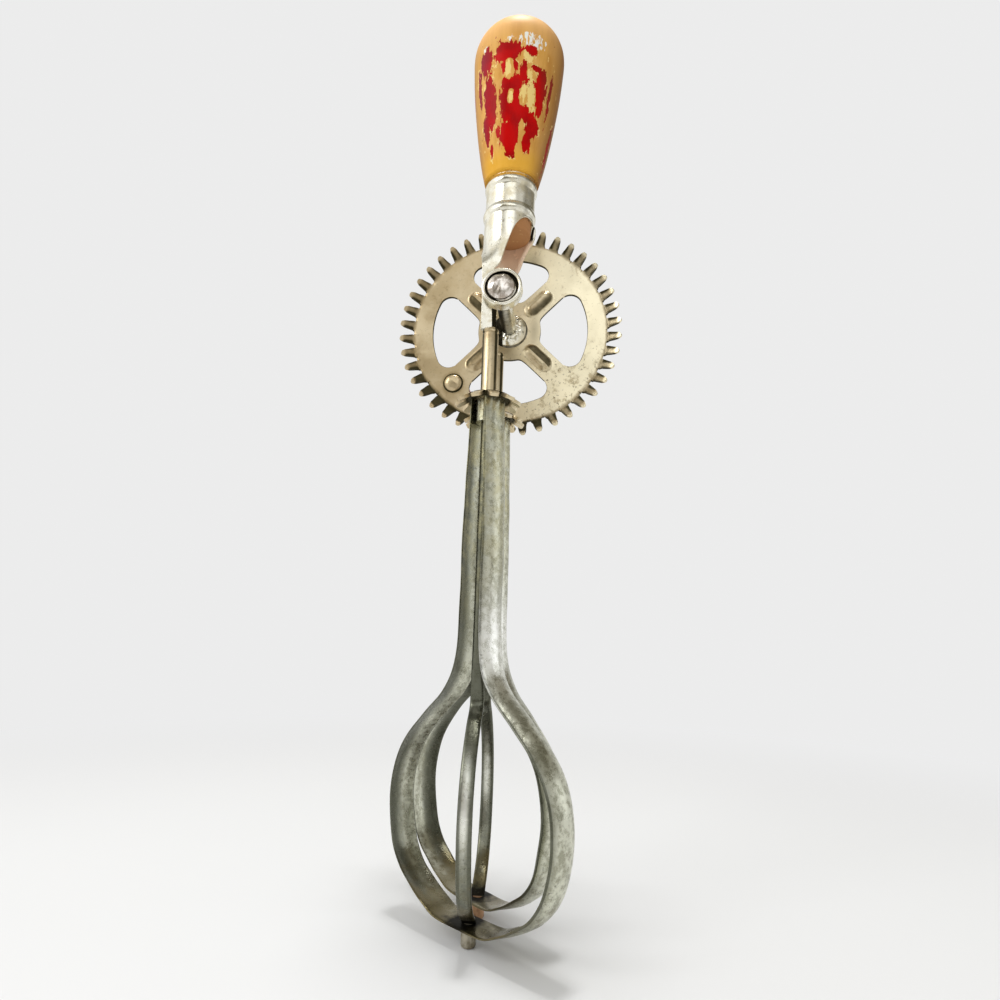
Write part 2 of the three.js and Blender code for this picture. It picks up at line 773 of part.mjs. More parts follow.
// The turned knob: narrow towards the wheel, full towards its rounded end, recessed for the washer
const knobShares = [[0, 0], [0.18, 0.1], [0.5, 0.82], [0.7, 1], [0.88, 0.88], [1, 0.3]];

function knobGeometry() {
  const points = knobShares.map(([h, s]) => new THREE.Vector3(
    THREE.MathUtils.lerp(knobWaistRadius, knobRadius, s),
    knobFront + knobLength * h,
    0,
  ));
  const side = new THREE.CatmullRomCurve3(points).getPoints(8).map((p) => [p.x, p.y]);
  const recessRadius = knobWasherRadius + endPlay;
  return turnedY([
    [knobBore, knobFront],
    ...side,
    [recessRadius, knobBack],
    [recessRadius, knobBack - knobRecess],
    [knobBore, knobBack - knobRecess],
    [knobBore, knobFront],
  ], roundSteps);
}

const beater = new THREE.Group();

function addPart(parent, name, geometry, finish) {
  const mesh = new THREE.Mesh(geometry, new THREE.MeshStandardMaterial(finish));
  mesh.name = name;
  parent.add(mesh);
  return mesh;
}

// Fixed parts: stamped frame, sleeves, handle and axle stud
addPart(beater, 'ferrule_frame', frameGeometry(), nickel);
addPart(beater, 'wood_handle', handleGeometry(), paintedWood);
addPart(beater, 'axle_stud', axleStudGeometry(), nickel);
const hubWasher = addPart(
  beater,
  'axle_washer',
  washerGeometry(shankRadius + slipFit, washerRadius, washerFront, washerThickness),
  nickel,
);
hubWasher.position.set(axleOffset, 0, axleHeight);

// The wheel group sits in the wheel's own plane, centred on the axle
const wheelGroup = new THREE.Group();
wheelGroup.position.set(axleOffset, wheelY, axleHeight);
beater.add(wheelGroup);
addPart(wheelGroup, 'drive_wheel', wheelGeometry().rotateX(-Math.PI / 2), wheelNickel);
addPart(wheelGroup, 'wheel_bush', bushGeometry(), wheelNickel);

const crankGroup = new THREE.Group();
const [crankX, crankZ] = polar(crankRadius, crankAngle);
crankGroup.position.set(crankX, 0, crankZ);
wheelGroup.add(crankGroup);
addPart(crankGroup, 'crank_stud', crankStudGeometry(), wheelNickel);
addPart(crankGroup, 'crank_knob', knobGeometry(), redWood);
addPart(
  crankGroup,
  'knob_washer',
  washerGeometry(crankPinRadius + slipFit, knobWasherRadius, knobWasherFront, washerThickness),
  nickel,
);

// One side of the beater: the front one at the origin, the rear one turned round to bow away from it.
// The blades' planes mirror each other about 45 degrees, so the loops pass between each other.
const sides = [
  { name: 'front', y: 0, turn: Math.PI, blade: restAngle, phase: 0, foot: tinned },
  { name: 'rear', y: shaftSpacing, turn: 0, blade: -Math.PI / 2 - restAngle, phase: 0.5, foot: copper },
];

for (const side of sides) {
  const group = new THREE.Group();
  group.position.set(0, side.y, 0);
  beater.add(group);
  addPart(group, `${side.name}_post`, postGeometry(), nickel);
  addPart(group, `${side.name}_arm`, armGeometry(), tinned).rotation.z = side.turn;
  addPart(group, `${side.name}_foot`, footGeometry(), side.foot);
  addPart(group, `${side.name}_pinion`, pinionGeometry(side.phase), wheelNickel).position.z = pinionMid;
  addPart(group, `${side.name}_pinion_hub`, pinionHubGeometry(), tinned).position.z = pinionUnder;
  addPart(group, `${side.name}_blade`, bladeGeometry(), tinned).rotation.z = side.blade;
}

export default beater;
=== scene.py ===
"""Looks of the rotary egg beater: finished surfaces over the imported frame, in metres, +Z up.

Sizes are named in millimetres, as in the part's source, and every mesh is scaled to metres when it is made.
The front is the photographed side. way is -1 for the front dasher, post and leg, and 1 for the rear ones.
"""
import math

import bmesh
import bpy
import numpy as np
from mathutils import Matrix, Vector


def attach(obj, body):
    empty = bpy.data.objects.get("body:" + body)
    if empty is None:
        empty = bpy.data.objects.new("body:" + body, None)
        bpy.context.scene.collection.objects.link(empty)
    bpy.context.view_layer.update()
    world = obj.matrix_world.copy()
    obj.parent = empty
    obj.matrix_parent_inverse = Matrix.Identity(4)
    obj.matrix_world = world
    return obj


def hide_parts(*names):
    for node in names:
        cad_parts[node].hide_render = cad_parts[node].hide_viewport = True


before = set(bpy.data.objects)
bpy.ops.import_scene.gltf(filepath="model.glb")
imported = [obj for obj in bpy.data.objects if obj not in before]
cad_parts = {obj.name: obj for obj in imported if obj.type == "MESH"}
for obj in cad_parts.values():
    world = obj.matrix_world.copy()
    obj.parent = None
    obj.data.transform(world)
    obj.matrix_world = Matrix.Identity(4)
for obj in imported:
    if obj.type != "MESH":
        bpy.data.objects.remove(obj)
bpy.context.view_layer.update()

MM = 0.001
WELD = 0.001

# The camera, from a fit to the photograph's wheel, dashers and feet
CAMERA_TARGET = (1.67, 27.29, 120.1)
CAMERA_DISTANCE = 213.3
CAMERA_TURN = math.radians(5.77)
CAMERA_RISE = math.radians(-11.56)
CAMERA_ROLL = math.radians(1.85)
CAMERA_NEAREST = 5
FOCAL_PIXELS = 649.5
IMAGE_PIXELS = 1000
SENSOR = 36

# Fits and gaps between the pieces
SLIP_FIT = 0.05
RUNNING_FIT = 0.08
END_PLAY = 0.2
SEAT_GAP = 0.1

# Gear train: sheet discs whose pegs bend down at the rim
TOOTH_PITCH = 5.43
WHEEL_TEETH = 42
PINION_TEETH = 10
WHEEL_PITCH_RADIUS = WHEEL_TEETH * TOOTH_PITCH / (2 * math.pi)
PINION_PITCH_RADIUS = PINION_TEETH * TOOTH_PITCH / (2 * math.pi)
SPACING = 2 * PINION_PITCH_RADIUS
SHEET = 1
SHEET_EDGE = 0.2
BEND_EASE = 1.2
WHEEL_DEDENDUM = 2.8
WHEEL_BEND = math.radians(26)
WHEEL_TOOTH = {"length": 5.2, "root": 3.7, "tip": 1.5}
PINION_DEDENDUM = 2.65
PINION_BEND = math.radians(30)
PINION_TOOTH = {"length": 4.2, "root": 3.1, "tip": 1.7}
WHEEL_RIM = WHEEL_PITCH_RADIUS - WHEEL_DEDENDUM
PINION_RIM = PINION_PITCH_RADIUS - PINION_DEDENDUM
WHEEL_Y = SPACING + PINION_PITCH_RADIUS + WHEEL_DEDENDUM * math.tan(WHEEL_BEND)

# Where a toothed disc's columns stand between a tooth's middle and the gap's, and its rows along a tooth
TOOTH_COLUMNS = np.array([0, 0.1, 0.19, 0.26, 0.31, 0.36, 0.42, 0.49, 0.56, 0.62, 0.67, 0.72, 0.8, 0.9])
TOOTH_ROWS = np.array([0.1, 0.22, 0.36, 0.5, 0.64, 0.78, 0.9, 0.96, 1])

# Wheel
AXLE_X = 3.1
AXLE_Z = 179.7
SPOKE_HALF_WIDTH = 4.2
HUB_DISC_RADIUS = 10.8
WINDOW_RADIUS = 26.8
WINDOW_ROUND = 4
RIB_HALF_WIDTH = 2.5
RIB_INNER = 8.6
RIB_OUTER = 19.6
RIB_DEPTH = 1.3
SHEET_WAVE = 0.12

# Painted shade on the wheel's front, below the cut-away and beside the hub: strength, then place and
# spread of a bell to the right of the axle, and the same above it
WHEEL_SHADE_BELLS = [(0.36, 8, 4, 26, 5), (0.34, 8.5, 2.6, 0, 8)]

# Axle and the boss that turns on it, whose worn front is a list of radius and drop from its highest ring
SHANK_RADIUS = 1.9
AXLE_RADIUS = 2.6
AXLE_HEAD_RADIUS = 4.3
AXLE_HEAD_HEIGHT = 1.7
AXLE_HEAD_SHIFT = (-0.35, 0, 0.32)
AXLE_HEAD_DENTS = 0.15
AXLE_TAIL_RADIUS = 3
AXLE_TAIL_HEIGHT = 1.2
WASHER = 0.8
BUSH_BORE = SHANK_RADIUS + RUNNING_FIT
BUSH_RADIUS = 5.8
BUSH_HEIGHT = 2.6
BUSH_FLARE = 0.5
BUSH_WEAR = 0.22
BUSH_SCRATCHES = 0.26
BUSH_NECK = 3.3
BUSH_LIP_RADIUS = 4.4
BUSH_LIP = 0.9
BUSH_FRONT = [(BUSH_BORE, 0), (2.6, 0), (3.2, 0), (3.6, 0.3), (4.2, 0.35), (5.1, 0.8), (BUSH_RADIUS, 1.5)]

# Crank rivet, whose thin skirt is a list of how far it stands out from the head and how high it lies
CRANK_RADIUS = 26.75
CRANK_ANGLE = math.radians(-134.8)
CRANK_HEAD_RADIUS = 3
CRANK_HEAD_HEIGHT = 1.1
CRANK_HEAD_DENTS = 0.1
CRANK_SKIRT = [(0.02, 0.12), (0.3, 0.1), (0.5, 0)]
CRANK_PIN_RADIUS = 1.7
CRANK_COLLAR_RADIUS = 3.4
CRANK_COLLAR_HEIGHT = 1.2
CRANK_TAIL_RADIUS = CRANK_PIN_RADIUS + SEAT_GAP
CRANK_TAIL_HEIGHT = AXLE_TAIL_HEIGHT / 2
KNOB_LENGTH = 12.5
KNOB_RECESS = WASHER + END_PLAY

# Handle, whose side is a list of shares of its length and of its width beyond the shoulder
HANDLE_X = 3.5
HANDLE_Y = SPACING / 2
HANDLE_LEAN = math.radians(1.7)
HANDLE_RISE = 42.7
HANDLE_BOTTOM = AXLE_Z + HANDLE_RISE
HANDLE_LENGTH = 60.1
HANDLE_RADIUS = 15.4
HANDLE_SHARES = [(0, 0), (0.1, 0.22), (0.28, 0.52), (0.54, 0.84), (0.7, 0.965), (0.78, 1)]
SHOULDER_RADIUS = 8.9
TENON_LENGTH = 19
TENON_BOTTOM = HANDLE_BOTTOM - TENON_LENGTH
TENON_RADIUS = 7.15
WOOD_EDGE = 0.35

# Ferrule
TUBE_RADIUS = 7.6
WALL = 0.8
WALL_EDGE = 0.16
BAND_LENGTH = 15
BAND_BOTTOM = HANDLE_BOTTOM - BAND_LENGTH
BEAD_DROPS = (2.6, 12.6)
BEAD_HEIGHT = 0.6
BEAD_HALF_WIDTH = 1.8

# Legs: each edge is a list of shares of height and of the way from its place below to its place above
POST_DROP = 12.8
POST_TOP = AXLE_Z - POST_DROP
FLAT_RISE = 8
FLAT_BOTTOM = AXLE_Z + FLAT_RISE
FLAT_LENGTH = 13
FLAT_TOP = FLAT_BOTTOM + FLAT_LENGTH
LEG_LEFT = -3.1
FRONT_LEG_RIGHT = 0.05
REAR_LEG_RIGHT = -0.15
LEFT_OVERRUN = 1
LEFT_SHARES = [(0, 0), (0.3, 0), (0.59, 0.25), (0.72, 0.6), (1, 1)]
FRONT_SHARES = [(0, 0.02), (0.5, 0.02), (0.553, 0.17), (0.72, 0.34), (0.91, 0.58), (0.985, 0.78), (1, 0.87)]
REAR_SHARES = [(0, 0), (0.455, 0.02), (0.75, 0.54), (0.81, 0.62), (0.88, 0.77), (0.94, 0.95), (1, 1)]
LEG_ROWS = 84
LEG_COLUMNS = 34
LIP_RADIUS = 0.9
LIP_SHIFT = 0.6
LIP_DROP = 7

# Ear, a cup whose depths count from the front leg's middle
EAR_RADIUS = 6.2
EAR_RECESS = 5.1
EAR_THICKNESS = 0.9
EAR_LIFT = 1.4
EAR_FLOOR = -EAR_THICKNESS / 2 - EAR_LIFT
EAR_RIM = 1.4
EAR_BEVEL = 0.75
EAR_BACK = 0.45

# Posts: the crimped top is a list of shifts in radius and heights below the end
POST_RADIUS = 2.4
POST_EDGE = 0.2
POST_CRIMP_ROUGH = 0.3
POST_CRIMP = [(0, 1.8), (-0.22, 1.3), (0.1, 0.8), (-0.15, 0)]

# Dashers
MESH_HEIGHT = AXLE_Z - WHEEL_PITCH_RADIUS
PINION_MID = MESH_HEIGHT + PINION_DEDENDUM * math.tan(PINION_BEND)
PINION_TOP = PINION_MID + SHEET / 2
PINION_UNDER = PINION_MID - SHEET / 2
STRIP_WIDTH = 8.7
STRIP_THICKNESS = 0.8
STRIP_CAMBER = 1.2
STRIP_WAVE = 0.16
STRIP_MID = 5.2
SOOT_RADIUS = 5.6
SOOT_RISE = 3
STAIN_REACH = 38
# Where the painted highlight on a loop's right shoulder lies
HIGHLIGHT_HEIGHT = 75
HIGHLIGHT_SPREAD = 13
BULB_RADIUS = 30.7
BULB_HEIGHT = 64
BULB_TOP_RADIUS = 6.2
NECK_RADIUS = 3.85
NECK_TOP = PINION_UNDER - SEAT_GAP
FRONT_TURN = math.radians(-38)
REAR_TURN = math.radians(-45)

# Arms: above its bow an arm becomes a straight round rod, which is set at two rises from the bow's top
ARM_WIDTH = 3.8
ARM_THICKNESS = 1.1
ROD_RADIUS = 1.8
ROD_RISES = (16, 30)
ARM_END = STRIP_MID + STRIP_THICKNESS / 2 + SEAT_GAP
SWEEP_CLEARANCE = 0.9
GLEAM_HEIGHT = 36
GLEAM_SPREAD = 8
ARM_SOOT = 2.2
ARM_STAIN_REACH = 40

# Half of a dasher's outline, as shares of the bulb's radius and height
BULB_SHARES = [
    (0.28, 0.004), (0.42, 0.025), (0.55, 0.047), (0.66, 0.075), (0.79, 0.12), (0.9, 0.19), (0.965, 0.285),
    (1, 0.395), (0.98, 0.503), (0.91, 0.597), (0.775, 0.69), (0.57, 0.785), (0.325, 0.89),
]


def place_camera():
    """Puts the camera at the photograph's angle, rolled about its own line of sight."""
    back = Vector((
        math.sin(CAMERA_TURN) * math.cos(CAMERA_RISE),
        -math.cos(CAMERA_TURN) * math.cos(CAMERA_RISE),
        math.sin(CAMERA_RISE),
    ))
    right = (-back).cross(Vector((0, 0, 1))).normalized()
    up = right.cross(-back)
    rolled_right = right * math.cos(CAMERA_ROLL) + up * math.sin(CAMERA_ROLL)
    rolled_up = up * math.cos(CAMERA_ROLL) - right * math.sin(CAMERA_ROLL)
    eye = (Vector(CAMERA_TARGET) + back * CAMERA_DISTANCE) * MM
    data = bpy.data.cameras.new("camera")
    data.sensor_width = SENSOR
    data.lens = FOCAL_PIXELS / IMAGE_PIXELS * SENSOR
    data.clip_start = CAMERA_NEAREST * MM
    data.dof.use_dof = False
    camera = bpy.data.objects.new("camera", data)
    bpy.context.scene.collection.objects.link(camera)
    axes = Matrix((rolled_right, rolled_up, back)).transposed().to_4x4()
    camera.matrix_world = Matrix.Translation(eye) @ axes
    bpy.context.scene.camera = camera


place_camera()
bpy.context.scene.view_settings.view_transform = "Standard"

# Colours as linear red, green and blue, and pairs of places between which one fades in, in millimetres. First
# the bright plating and the wheel's
PLATE = (0.88, 0.85, 0.73)
PLATE_TAN = (0.74, 0.67, 0.49)
PLATE_PIT = (0.20, 0.16, 0.09)
HEAD_BROWN = (0.36, 0.29, 0.24)
HEAD_PALE = (0.92, 0.86, 0.80)
# Black for dirt in the gaps and for painted shade and shadow
DIRT_AND_SHADE_BLACK = (0.02, 0.017, 0.01)
# Coppery pink on the ferrule's inner wall, a painted reflection of the handle's wood
INNER_WALL_REFLECTION = (0.86, 0.62, 0.44)
INNER_WALL_DEPTH = (11, 12.5)
INNER_WALL_HEIGHT = (FLAT_BOTTOM - 0.7, FLAT_BOTTOM + 3.3)
WHEEL_TAN = (0.55, 0.43, 0.25)
WHEEL_SAND = (0.66, 0.55, 0.36)
# Cream painted on the wheel's right side as light
WHEEL_LIT_CREAM = (0.94, 0.86, 0.62)
LIT_SIDE = (-12, 30)
WHEEL_RUST = (0.30, 0.20, 0.09)
WHEEL_SPOT = (0.34, 0.25, 0.11)
SPOT_SIDE = (-10, 25)
SPOT_HEIGHT = (182, 158)
WHEEL_SPECK = (0.14, 0.10, 0.05)
WHEEL_FRINGE = (0.34, 0.24, 0.11)
# Near black, for dirt on the wheel and for painted shade
WHEEL_DIRT_AND_SHADE = (0.05, 0.042, 0.017)

# The tinned strips and the pins
TIN = (0.66, 0.665, 0.55)
TIN_DARK = (0.36, 0.36, 0.275)
# Painted shade on the strips' margins and inner faces
TIN_SHADE = (0.085, 0.088, 0.062)
TIN_OLIVE = (0.44, 0.40, 0.22)
OLIVE_HEIGHT = (60, 125)
TIN_STAIN = (0.17, 0.135, 0.06)
# Painted highlight on the strips
TIN_HIGHLIGHT = (0.95, 0.95, 0.9)
TIN_SPECK = (0.09, 0.09, 0.065)
SOOT = (0.012, 0.01, 0.006)
COPPER = (0.70, 0.42, 0.25)
COPPER_DARK = (0.42, 0.24, 0.13)
PIN_TAN = (0.46, 0.42, 0.33)
PIN_DARK = (0.22, 0.19, 0.13)

# The handle and the knob
HONEY = (0.80, 0.43, 0.10)
HONEY_GRAIN = (0.66, 0.31, 0.06)
HONEY_WARM = (0.84, 0.47, 0.14)
# Painted light: the wood is lighter towards its top, between these heights
HONEY_LIT_TOP = (0.98, 0.58, 0.25)
HONEY_LIT_HEIGHT = (262, 275)
HONEY_FOOT = (0.90, 0.47, 0.02)
HONEY_FOOT_HEIGHT = (232, 224)
# Painted shade on the wood's sides
HONEY_PAINTED_SHADE = (0.27, 0.12, 0.035)
TENON_BROWN = (0.46, 0.22, 0.09)
TENON_HEIGHT = (HANDLE_BOTTOM, HANDLE_BOTTOM - 0.3)
PRIMER = (0.95, 0.73, 0.27)
# White dashes above the glint height are painted glints
PAINTED_GLINT = (0.94, 0.92, 0.85)
GLINT_HEIGHT = (261.5, 263.5)
RED = (0.58, 0, 0)
RED_DEEP = (0.38, 0, 0.001)
RED_VIOLET = (0.28, 0.012, 0.03)
VIOLET_SIDE = (-1, -6)
VIOLET_DEPTH = (14, 6)
# Painted shade: the red turns brown on the right side
RED_SHADE = (0.24, 0.02, 0.01)
SHADE_SIDE = (12, 18)
KNOB_RED = (0.42, 0.01, 0.008)
KNOB_WOOD = (0.62, 0.36, 0.13)

# The room, whose floor turns into plain backdrop between two distances from the beater
BACKDROP = (0.84, 0.84, 0.84)
FLOOR_GREY = (0.785, 0.788, 0.792)
FLOOR_PALE = (0.80, 0.803, 0.807)
FLOOR_FADE = (140, 450)
FLOOR_REACH = 4000
FLOOR_POINTS = 9
ROOM_DIM = (0.17, 0.15, 0.10)
ROOM_PALE = (0.8, 0.8, 0.79)


class Nodes:
    """A tree of shader nodes. Each call adds a node and returns the socket that it gives out."""

    def __init__(self, tree, coordinates="Object"):
        self.tree = tree
        self.place = self.add("ShaderNodeTexCoord").outputs[coordinates]

    def add(self, kind, **settings):
        """A new node with its settings."""
        node = self.tree.nodes.new(kind)
        for name, value in settings.items():
            setattr(node, name, value)
        return node

    def feed(self, socket, value):
        """Links a socket, or sets a plain number, direction or colour on it."""
        if isinstance(value, bpy.types.NodeSocket):
            self.tree.links.new(value, socket)
        elif socket.type == "RGBA":
            socket.default_value = (*value, 1)
        else:
            socket.default_value = value

    def stretched(self, scale):
        """The place times one scale along each axis."""
        node = self.add("ShaderNodeMapping")
        self.feed(node.inputs["Vector"], self.place)
        self.feed(node.inputs["Scale"], scale)
        return node.outputs["Vector"]

    def noise(self, scale, detail=4, rough=0.55, place=None, twist=0):
        """Fractal noise, about 0.5 in the middle."""
        node = self.add("ShaderNodeTexNoise")
        self.feed(node.inputs["Vector"], place or self.place)
        self.feed(node.inputs["Scale"], scale)
        self.feed(node.inputs["Detail"], detail)
        self.feed(node.inputs["Roughness"], rough)
        self.feed(node.inputs["Distortion"], twist)
        return node.outputs["Fac"]

    def attribute(self, name):
        """A number kept at each corner of the mesh."""
        return self.add("ShaderNodeAttribute", attribute_name=name).outputs["Fac"]

    def dot(self, vector, direction):
        """How far a vector reaches along a direction."""
        node = self.add("ShaderNodeVectorMath", operation="DOT_PRODUCT")
        self.feed(node.inputs[0], vector)
        self.feed(node.inputs[1], direction)
        return node.outputs["Value"]

    def fade(self, value, start, end, low=0, high=1):
        """From low at start to high at end, with a smooth step between."""
        node = self.add("ShaderNodeMapRange", interpolation_type="SMOOTHSTEP")
        self.feed(node.inputs["Value"], value)
        self.feed(node.inputs["From Min"], start)
        self.feed(node.inputs["From Max"], end)
        self.feed(node.inputs["To Min"], low)
        self.feed(node.inputs["To Max"], high)
        return node.outputs["Result"]

    def fade_along(self, axis, start, end):
        """0 at start and 1 at end along one axis, two places in millimetres: X right, Y back and Z up."""
        node = self.add("ShaderNodeSeparateXYZ")
        self.feed(node.inputs["Vector"], self.place)
        return self.fade(node.outputs[axis], start * MM, end * MM)

    def fade_front(self, start, end):
        """From 0 to 1 as a surface turns to the front, between two cosines of its angle from it."""
        normal = self.add("ShaderNodeNewGeometry").outputs["Normal"]
        return self.fade(self.dot(normal, (0, -1, 0)), start, end)

    def reckon(self, kind, first, second):
        """Two numbers joined by one kind of arithmetic."""
        node = self.add("ShaderNodeMath", operation=kind)
        self.feed(node.inputs[0], first)
        self.feed(node.inputs[1], second)
        return node.outputs["Value"]

    def plus(self, first, second):
        """The sum of two numbers."""
        return self.reckon("ADD", first, second)

    def less(self, first, second):
        """The first number less the second."""
        return self.reckon("SUBTRACT", first, second)

    def times(self, first, second):
        """The product of two numbers."""
        return self.reckon("MULTIPLY", first, second)

    def most(self, first, second):
        """The larger of two numbers."""
        return self.reckon("MAXIMUM", first, second)

    def blend(self, share, low, high, beyond=False):
        """A colour between two colours, or beyond the second one where the share may pass 1."""
        node = self.add("ShaderNodeMix", data_type="RGBA", clamp_factor=not beyond)
        self.feed(node.inputs["Factor"], share)
        self.feed(node.inputs[6], low)
        self.feed(node.inputs[7], high)
        return node.outputs[2]

    def seen_by(self, *rays):
        """1 for the kinds of ray that are named, and 0 for the rest."""
        path = self.add("ShaderNodeLightPath")
        seen = path.outputs[rays[0]]
        for ray in rays[1:]:
            seen = self.most(seen, path.outputs[ray])
        return seen

    def give_out(self, output, share, shader, backdrop):
        """Sends a shader to an output, with the backdrop's in its place by a share."""
        mix = self.add("ShaderNodeMixShader")
        self.feed(mix.inputs["Fac"], share)
        self.feed(mix.inputs[1], shader)
        self.feed(mix.inputs[2], backdrop)
        self.feed(self.tree.nodes[output].inputs["Surface"], mix.outputs["Shader"])


class Finish(Nodes):
    """One procedural material, whose patterns lie in Object coordinates."""

    def __init__(self, name):
        self.material = bpy.data.materials.new(name)
        self.material.use_nodes = True
        super().__init__(self.material.node_tree)
        self.shader = self.tree.nodes["Principled BSDF"]

    def relief(self, height, strength, depth):
        """Fine relief from a number: depth in millimetres where the number goes from 0 to 1."""
        node = self.add("ShaderNodeBump")
        self.feed(node.inputs["Strength"], strength)
        self.feed(node.inputs["Distance"], depth * MM)
        self.feed(node.inputs["Height"], height)
        self.feed(self.shader.inputs["Normal"], node.outputs["Normal"])

    def set(self, **values):
        """Sets the shader's sockets by name."""
        for name, value in values.items():
            self.feed(self.shader.inputs[name.replace("_", " ")], value)
        return self.material


def bright_nickel():
    """Worn plating: pale and glossy, with dull tan clouds, pits and scratches, and black dirt and painted
    shade.

    The numbers worn, grime_and_shade and painted_shadow lie in the mesh. The painted shadow counts only on
    faces that look to the front, and the ferrule's inner wall, seen through its cut-away, is painted coppery
    as a reflection of the wood.
    """
    f = Finish("bright nickel")
    clouds = f.fade(f.noise(170, 5, 0.65), 0.44, 0.66)
    pits = f.fade(f.noise(900, 3, 0.6), 0.62, 0.7)
    colour = f.blend(clouds, PLATE, PLATE_TAN)
    worn = f.attribute("worn")
    mottled = f.blend(f.fade(f.noise(420, 5, 0.7), 0.4, 0.6), HEAD_BROWN, HEAD_PALE)
    colour = f.blend(f.times(worn, 0.85), colour, mottled)
    colour = f.blend(f.times(pits, 0.6), colour, PLATE_PIT)
    # Dirt, painted shade and the painted shadow on the rear leg turn the plating black
    grime_and_shade = f.fade(f.plus(f.attribute("grime_and_shade"), f.times(f.noise(600, 4), 0.35)), 0.4, 0.95)
    painted_shadow = f.times(f.attribute("painted_shadow"), f.fade_front(0, 0.5))
    grime_and_shade = f.most(grime_and_shade, f.fade(painted_shadow, 0.2, 0.7))
    colour = f.blend(grime_and_shade, colour, DIRT_AND_SHADE_BLACK)
    # Painted reflection: the inner wall seen through the cut-away takes the wood's coppery pink and less
    # metal
    inside = f.times(f.fade_front(0.1, 0.3), f.fade_along("Y", *INNER_WALL_DEPTH))
    inside = f.times(inside, f.fade_along("Z", *INNER_WALL_HEIGHT))
    colour = f.blend(inside, colour, INNER_WALL_REFLECTION)
    f.relief(f.plus(f.times(f.noise(110, 3), 0.2), f.times(f.noise(800, 3), 0.1)), 0.35, 0.2)
    metal = f.less(1, f.times(inside, 0.85))
    rough = f.plus(f.plus(f.plus(0.2, f.times(clouds, 0.14)), f.times(grime_and_shade, 0.3)), f.times(worn, 0.08))
    return f.set(Base_Color=colour, Metallic=metal, Roughness=rough)


def wheel_nickel():
    """Tarnished wheel plating: warm tan, cream painted light to the right, dark dirt, painted shade, rusty
    specks.

    The numbers grime_and_shade and painted_shade lie in the mesh. The painted shade counts only on faces that
    look to the front.
    """
    f = Finish("wheel nickel")
    clouds = f.fade(f.noise(75, 5, 0.62), 0.36, 0.66)
    warm = f.blend(clouds, WHEEL_TAN, WHEEL_SAND)
    # Painted light: the tan turns cream towards the wheel's right side
    colour = f.blend(f.times(f.fade_along("X", *LIT_SIDE), 0.85), warm, WHEEL_LIT_CREAM)
    rust = f.fade(f.noise(160, 6, 0.7, twist=0.6), 0.58, 0.72)
    colour = f.blend(f.times(rust, 0.5), colour, WHEEL_RUST)
    low_right = f.times(f.fade_along("X", *SPOT_SIDE), f.fade_along("Z", *SPOT_HEIGHT))
    spots = f.times(f.fade(f.noise(300, 6, 0.75), 0.5, 0.62), low_right)
    colour = f.blend(f.times(spots, 0.65), colour, WHEEL_SPOT)
    specks = f.fade(f.noise(1100, 3, 0.6), 0.6, 0.68)
    colour = f.blend(f.times(specks, f.plus(0.2, f.times(low_right, 0.7))), colour, WHEEL_SPECK)
    edges = f.plus(f.attribute("grime_and_shade"), f.times(f.noise(420, 4), 0.35))
    colour = f.blend(f.times(f.fade(edges, 0.24, 0.5), 0.5), colour, WHEEL_FRINGE)
    # Dirt along the edges and painted shade from the mesh turn the wheel near black
    painted_shade = f.times(f.attribute("painted_shade"), f.fade_front(0, 0.5))
    grime_and_shade = f.most(f.fade(edges, 0.36, 0.95), f.fade(painted_shade, 0.1, 0.8))
    colour = f.blend(grime_and_shade, colour, WHEEL_DIRT_AND_SHADE)
    rough = f.plus(f.plus(0.3, f.times(clouds, 0.12)), f.times(grime_and_shade, 0.25))
    f.relief(f.plus(f.noise(60, 3), f.times(f.noise(700, 3), 0.12)), 0.35, 0.35)
    return f.set(Base_Color=colour, Metallic=0.94, Roughness=rough)


def tinned_strip():
    """Dull tinned strip: mottled grey, painted shade at its margins, olive near the pinion, brown round the
    pivot.

    The numbers margin_shade, stain, painted_highlight and soot lie in the mesh, and noise breaks each of them
    up.
    """
    f = Finish("tinned strip")
    clouds = f.noise(120, 5, 0.62, f.stretched((1, 1, 0.4)))
    mottle = f.noise(620, 5, 0.65)
    shade = f.fade(f.plus(f.times(clouds, 0.5), f.times(mottle, 0.5)), 0.43, 0.57)
    colour = f.blend(shade, TIN_DARK, TIN)
    # Painted shade along the margins and over the inner faces
    margin_shade = f.fade(f.plus(f.attribute("margin_shade"), f.times(f.less(mottle, 0.5), 0.7)), 0.3, 1)
    colour = f.blend(f.times(margin_shade, 0.9), colour, TIN_SHADE)
    olive_top = f.times(f.fade_along("Z", *OLIVE_HEIGHT), f.fade(f.noise(170, 6, 0.7), 0.36, 0.64))
    colour = f.blend(f.times(olive_top, 0.65), colour, TIN_OLIVE)
    stain = f.fade(f.plus(f.attribute("stain"), f.times(f.noise(170, 5, 0.65), 0.9)), 0.8, 1.2)
    colour = f.blend(f.times(stain, 0.8), colour, TIN_STAIN)
    # Painted highlight from the mesh
    colour = f.blend(f.times(f.attribute("painted_highlight"), f.plus(f.times(shade, 0.5), 0.5)), colour, TIN_HIGHLIGHT)
    soot = f.plus(f.attribute("soot"), f.times(f.less(f.noise(330, 5, 0.65), 0.5), 1.6))
    soot = f.fade(soot, 0.3, 0.95)
    colour = f.blend(soot, colour, SOOT)
    specks = f.fade(f.times(f.noise(1000, 3, 0.6), f.fade(f.noise(90, 2), 0.35, 0.6)), 0.58, 0.68)
    colour = f.blend(f.times(specks, 0.5), colour, TIN_SPECK)
    rough = f.plus(f.plus(0.22, f.times(mottle, 0.12)), f.times(soot, 0.3))
    f.relief(f.plus(f.noise(130, 3), f.times(mottle, 0.4)), 0.45, 0.35)
    return f.set(Base_Color=colour, Metallic=0.9, Roughness=rough)


def clouded_pin(name, scale, light, dark, metal):
    """A worn pin in two tones of one metal."""
    f = Finish(name)
    colour = f.blend(f.fade(f.noise(scale, 4), 0.35, 0.65), light, dark)
    return f.set(Base_Color=colour, Metallic=metal, Roughness=0.36)


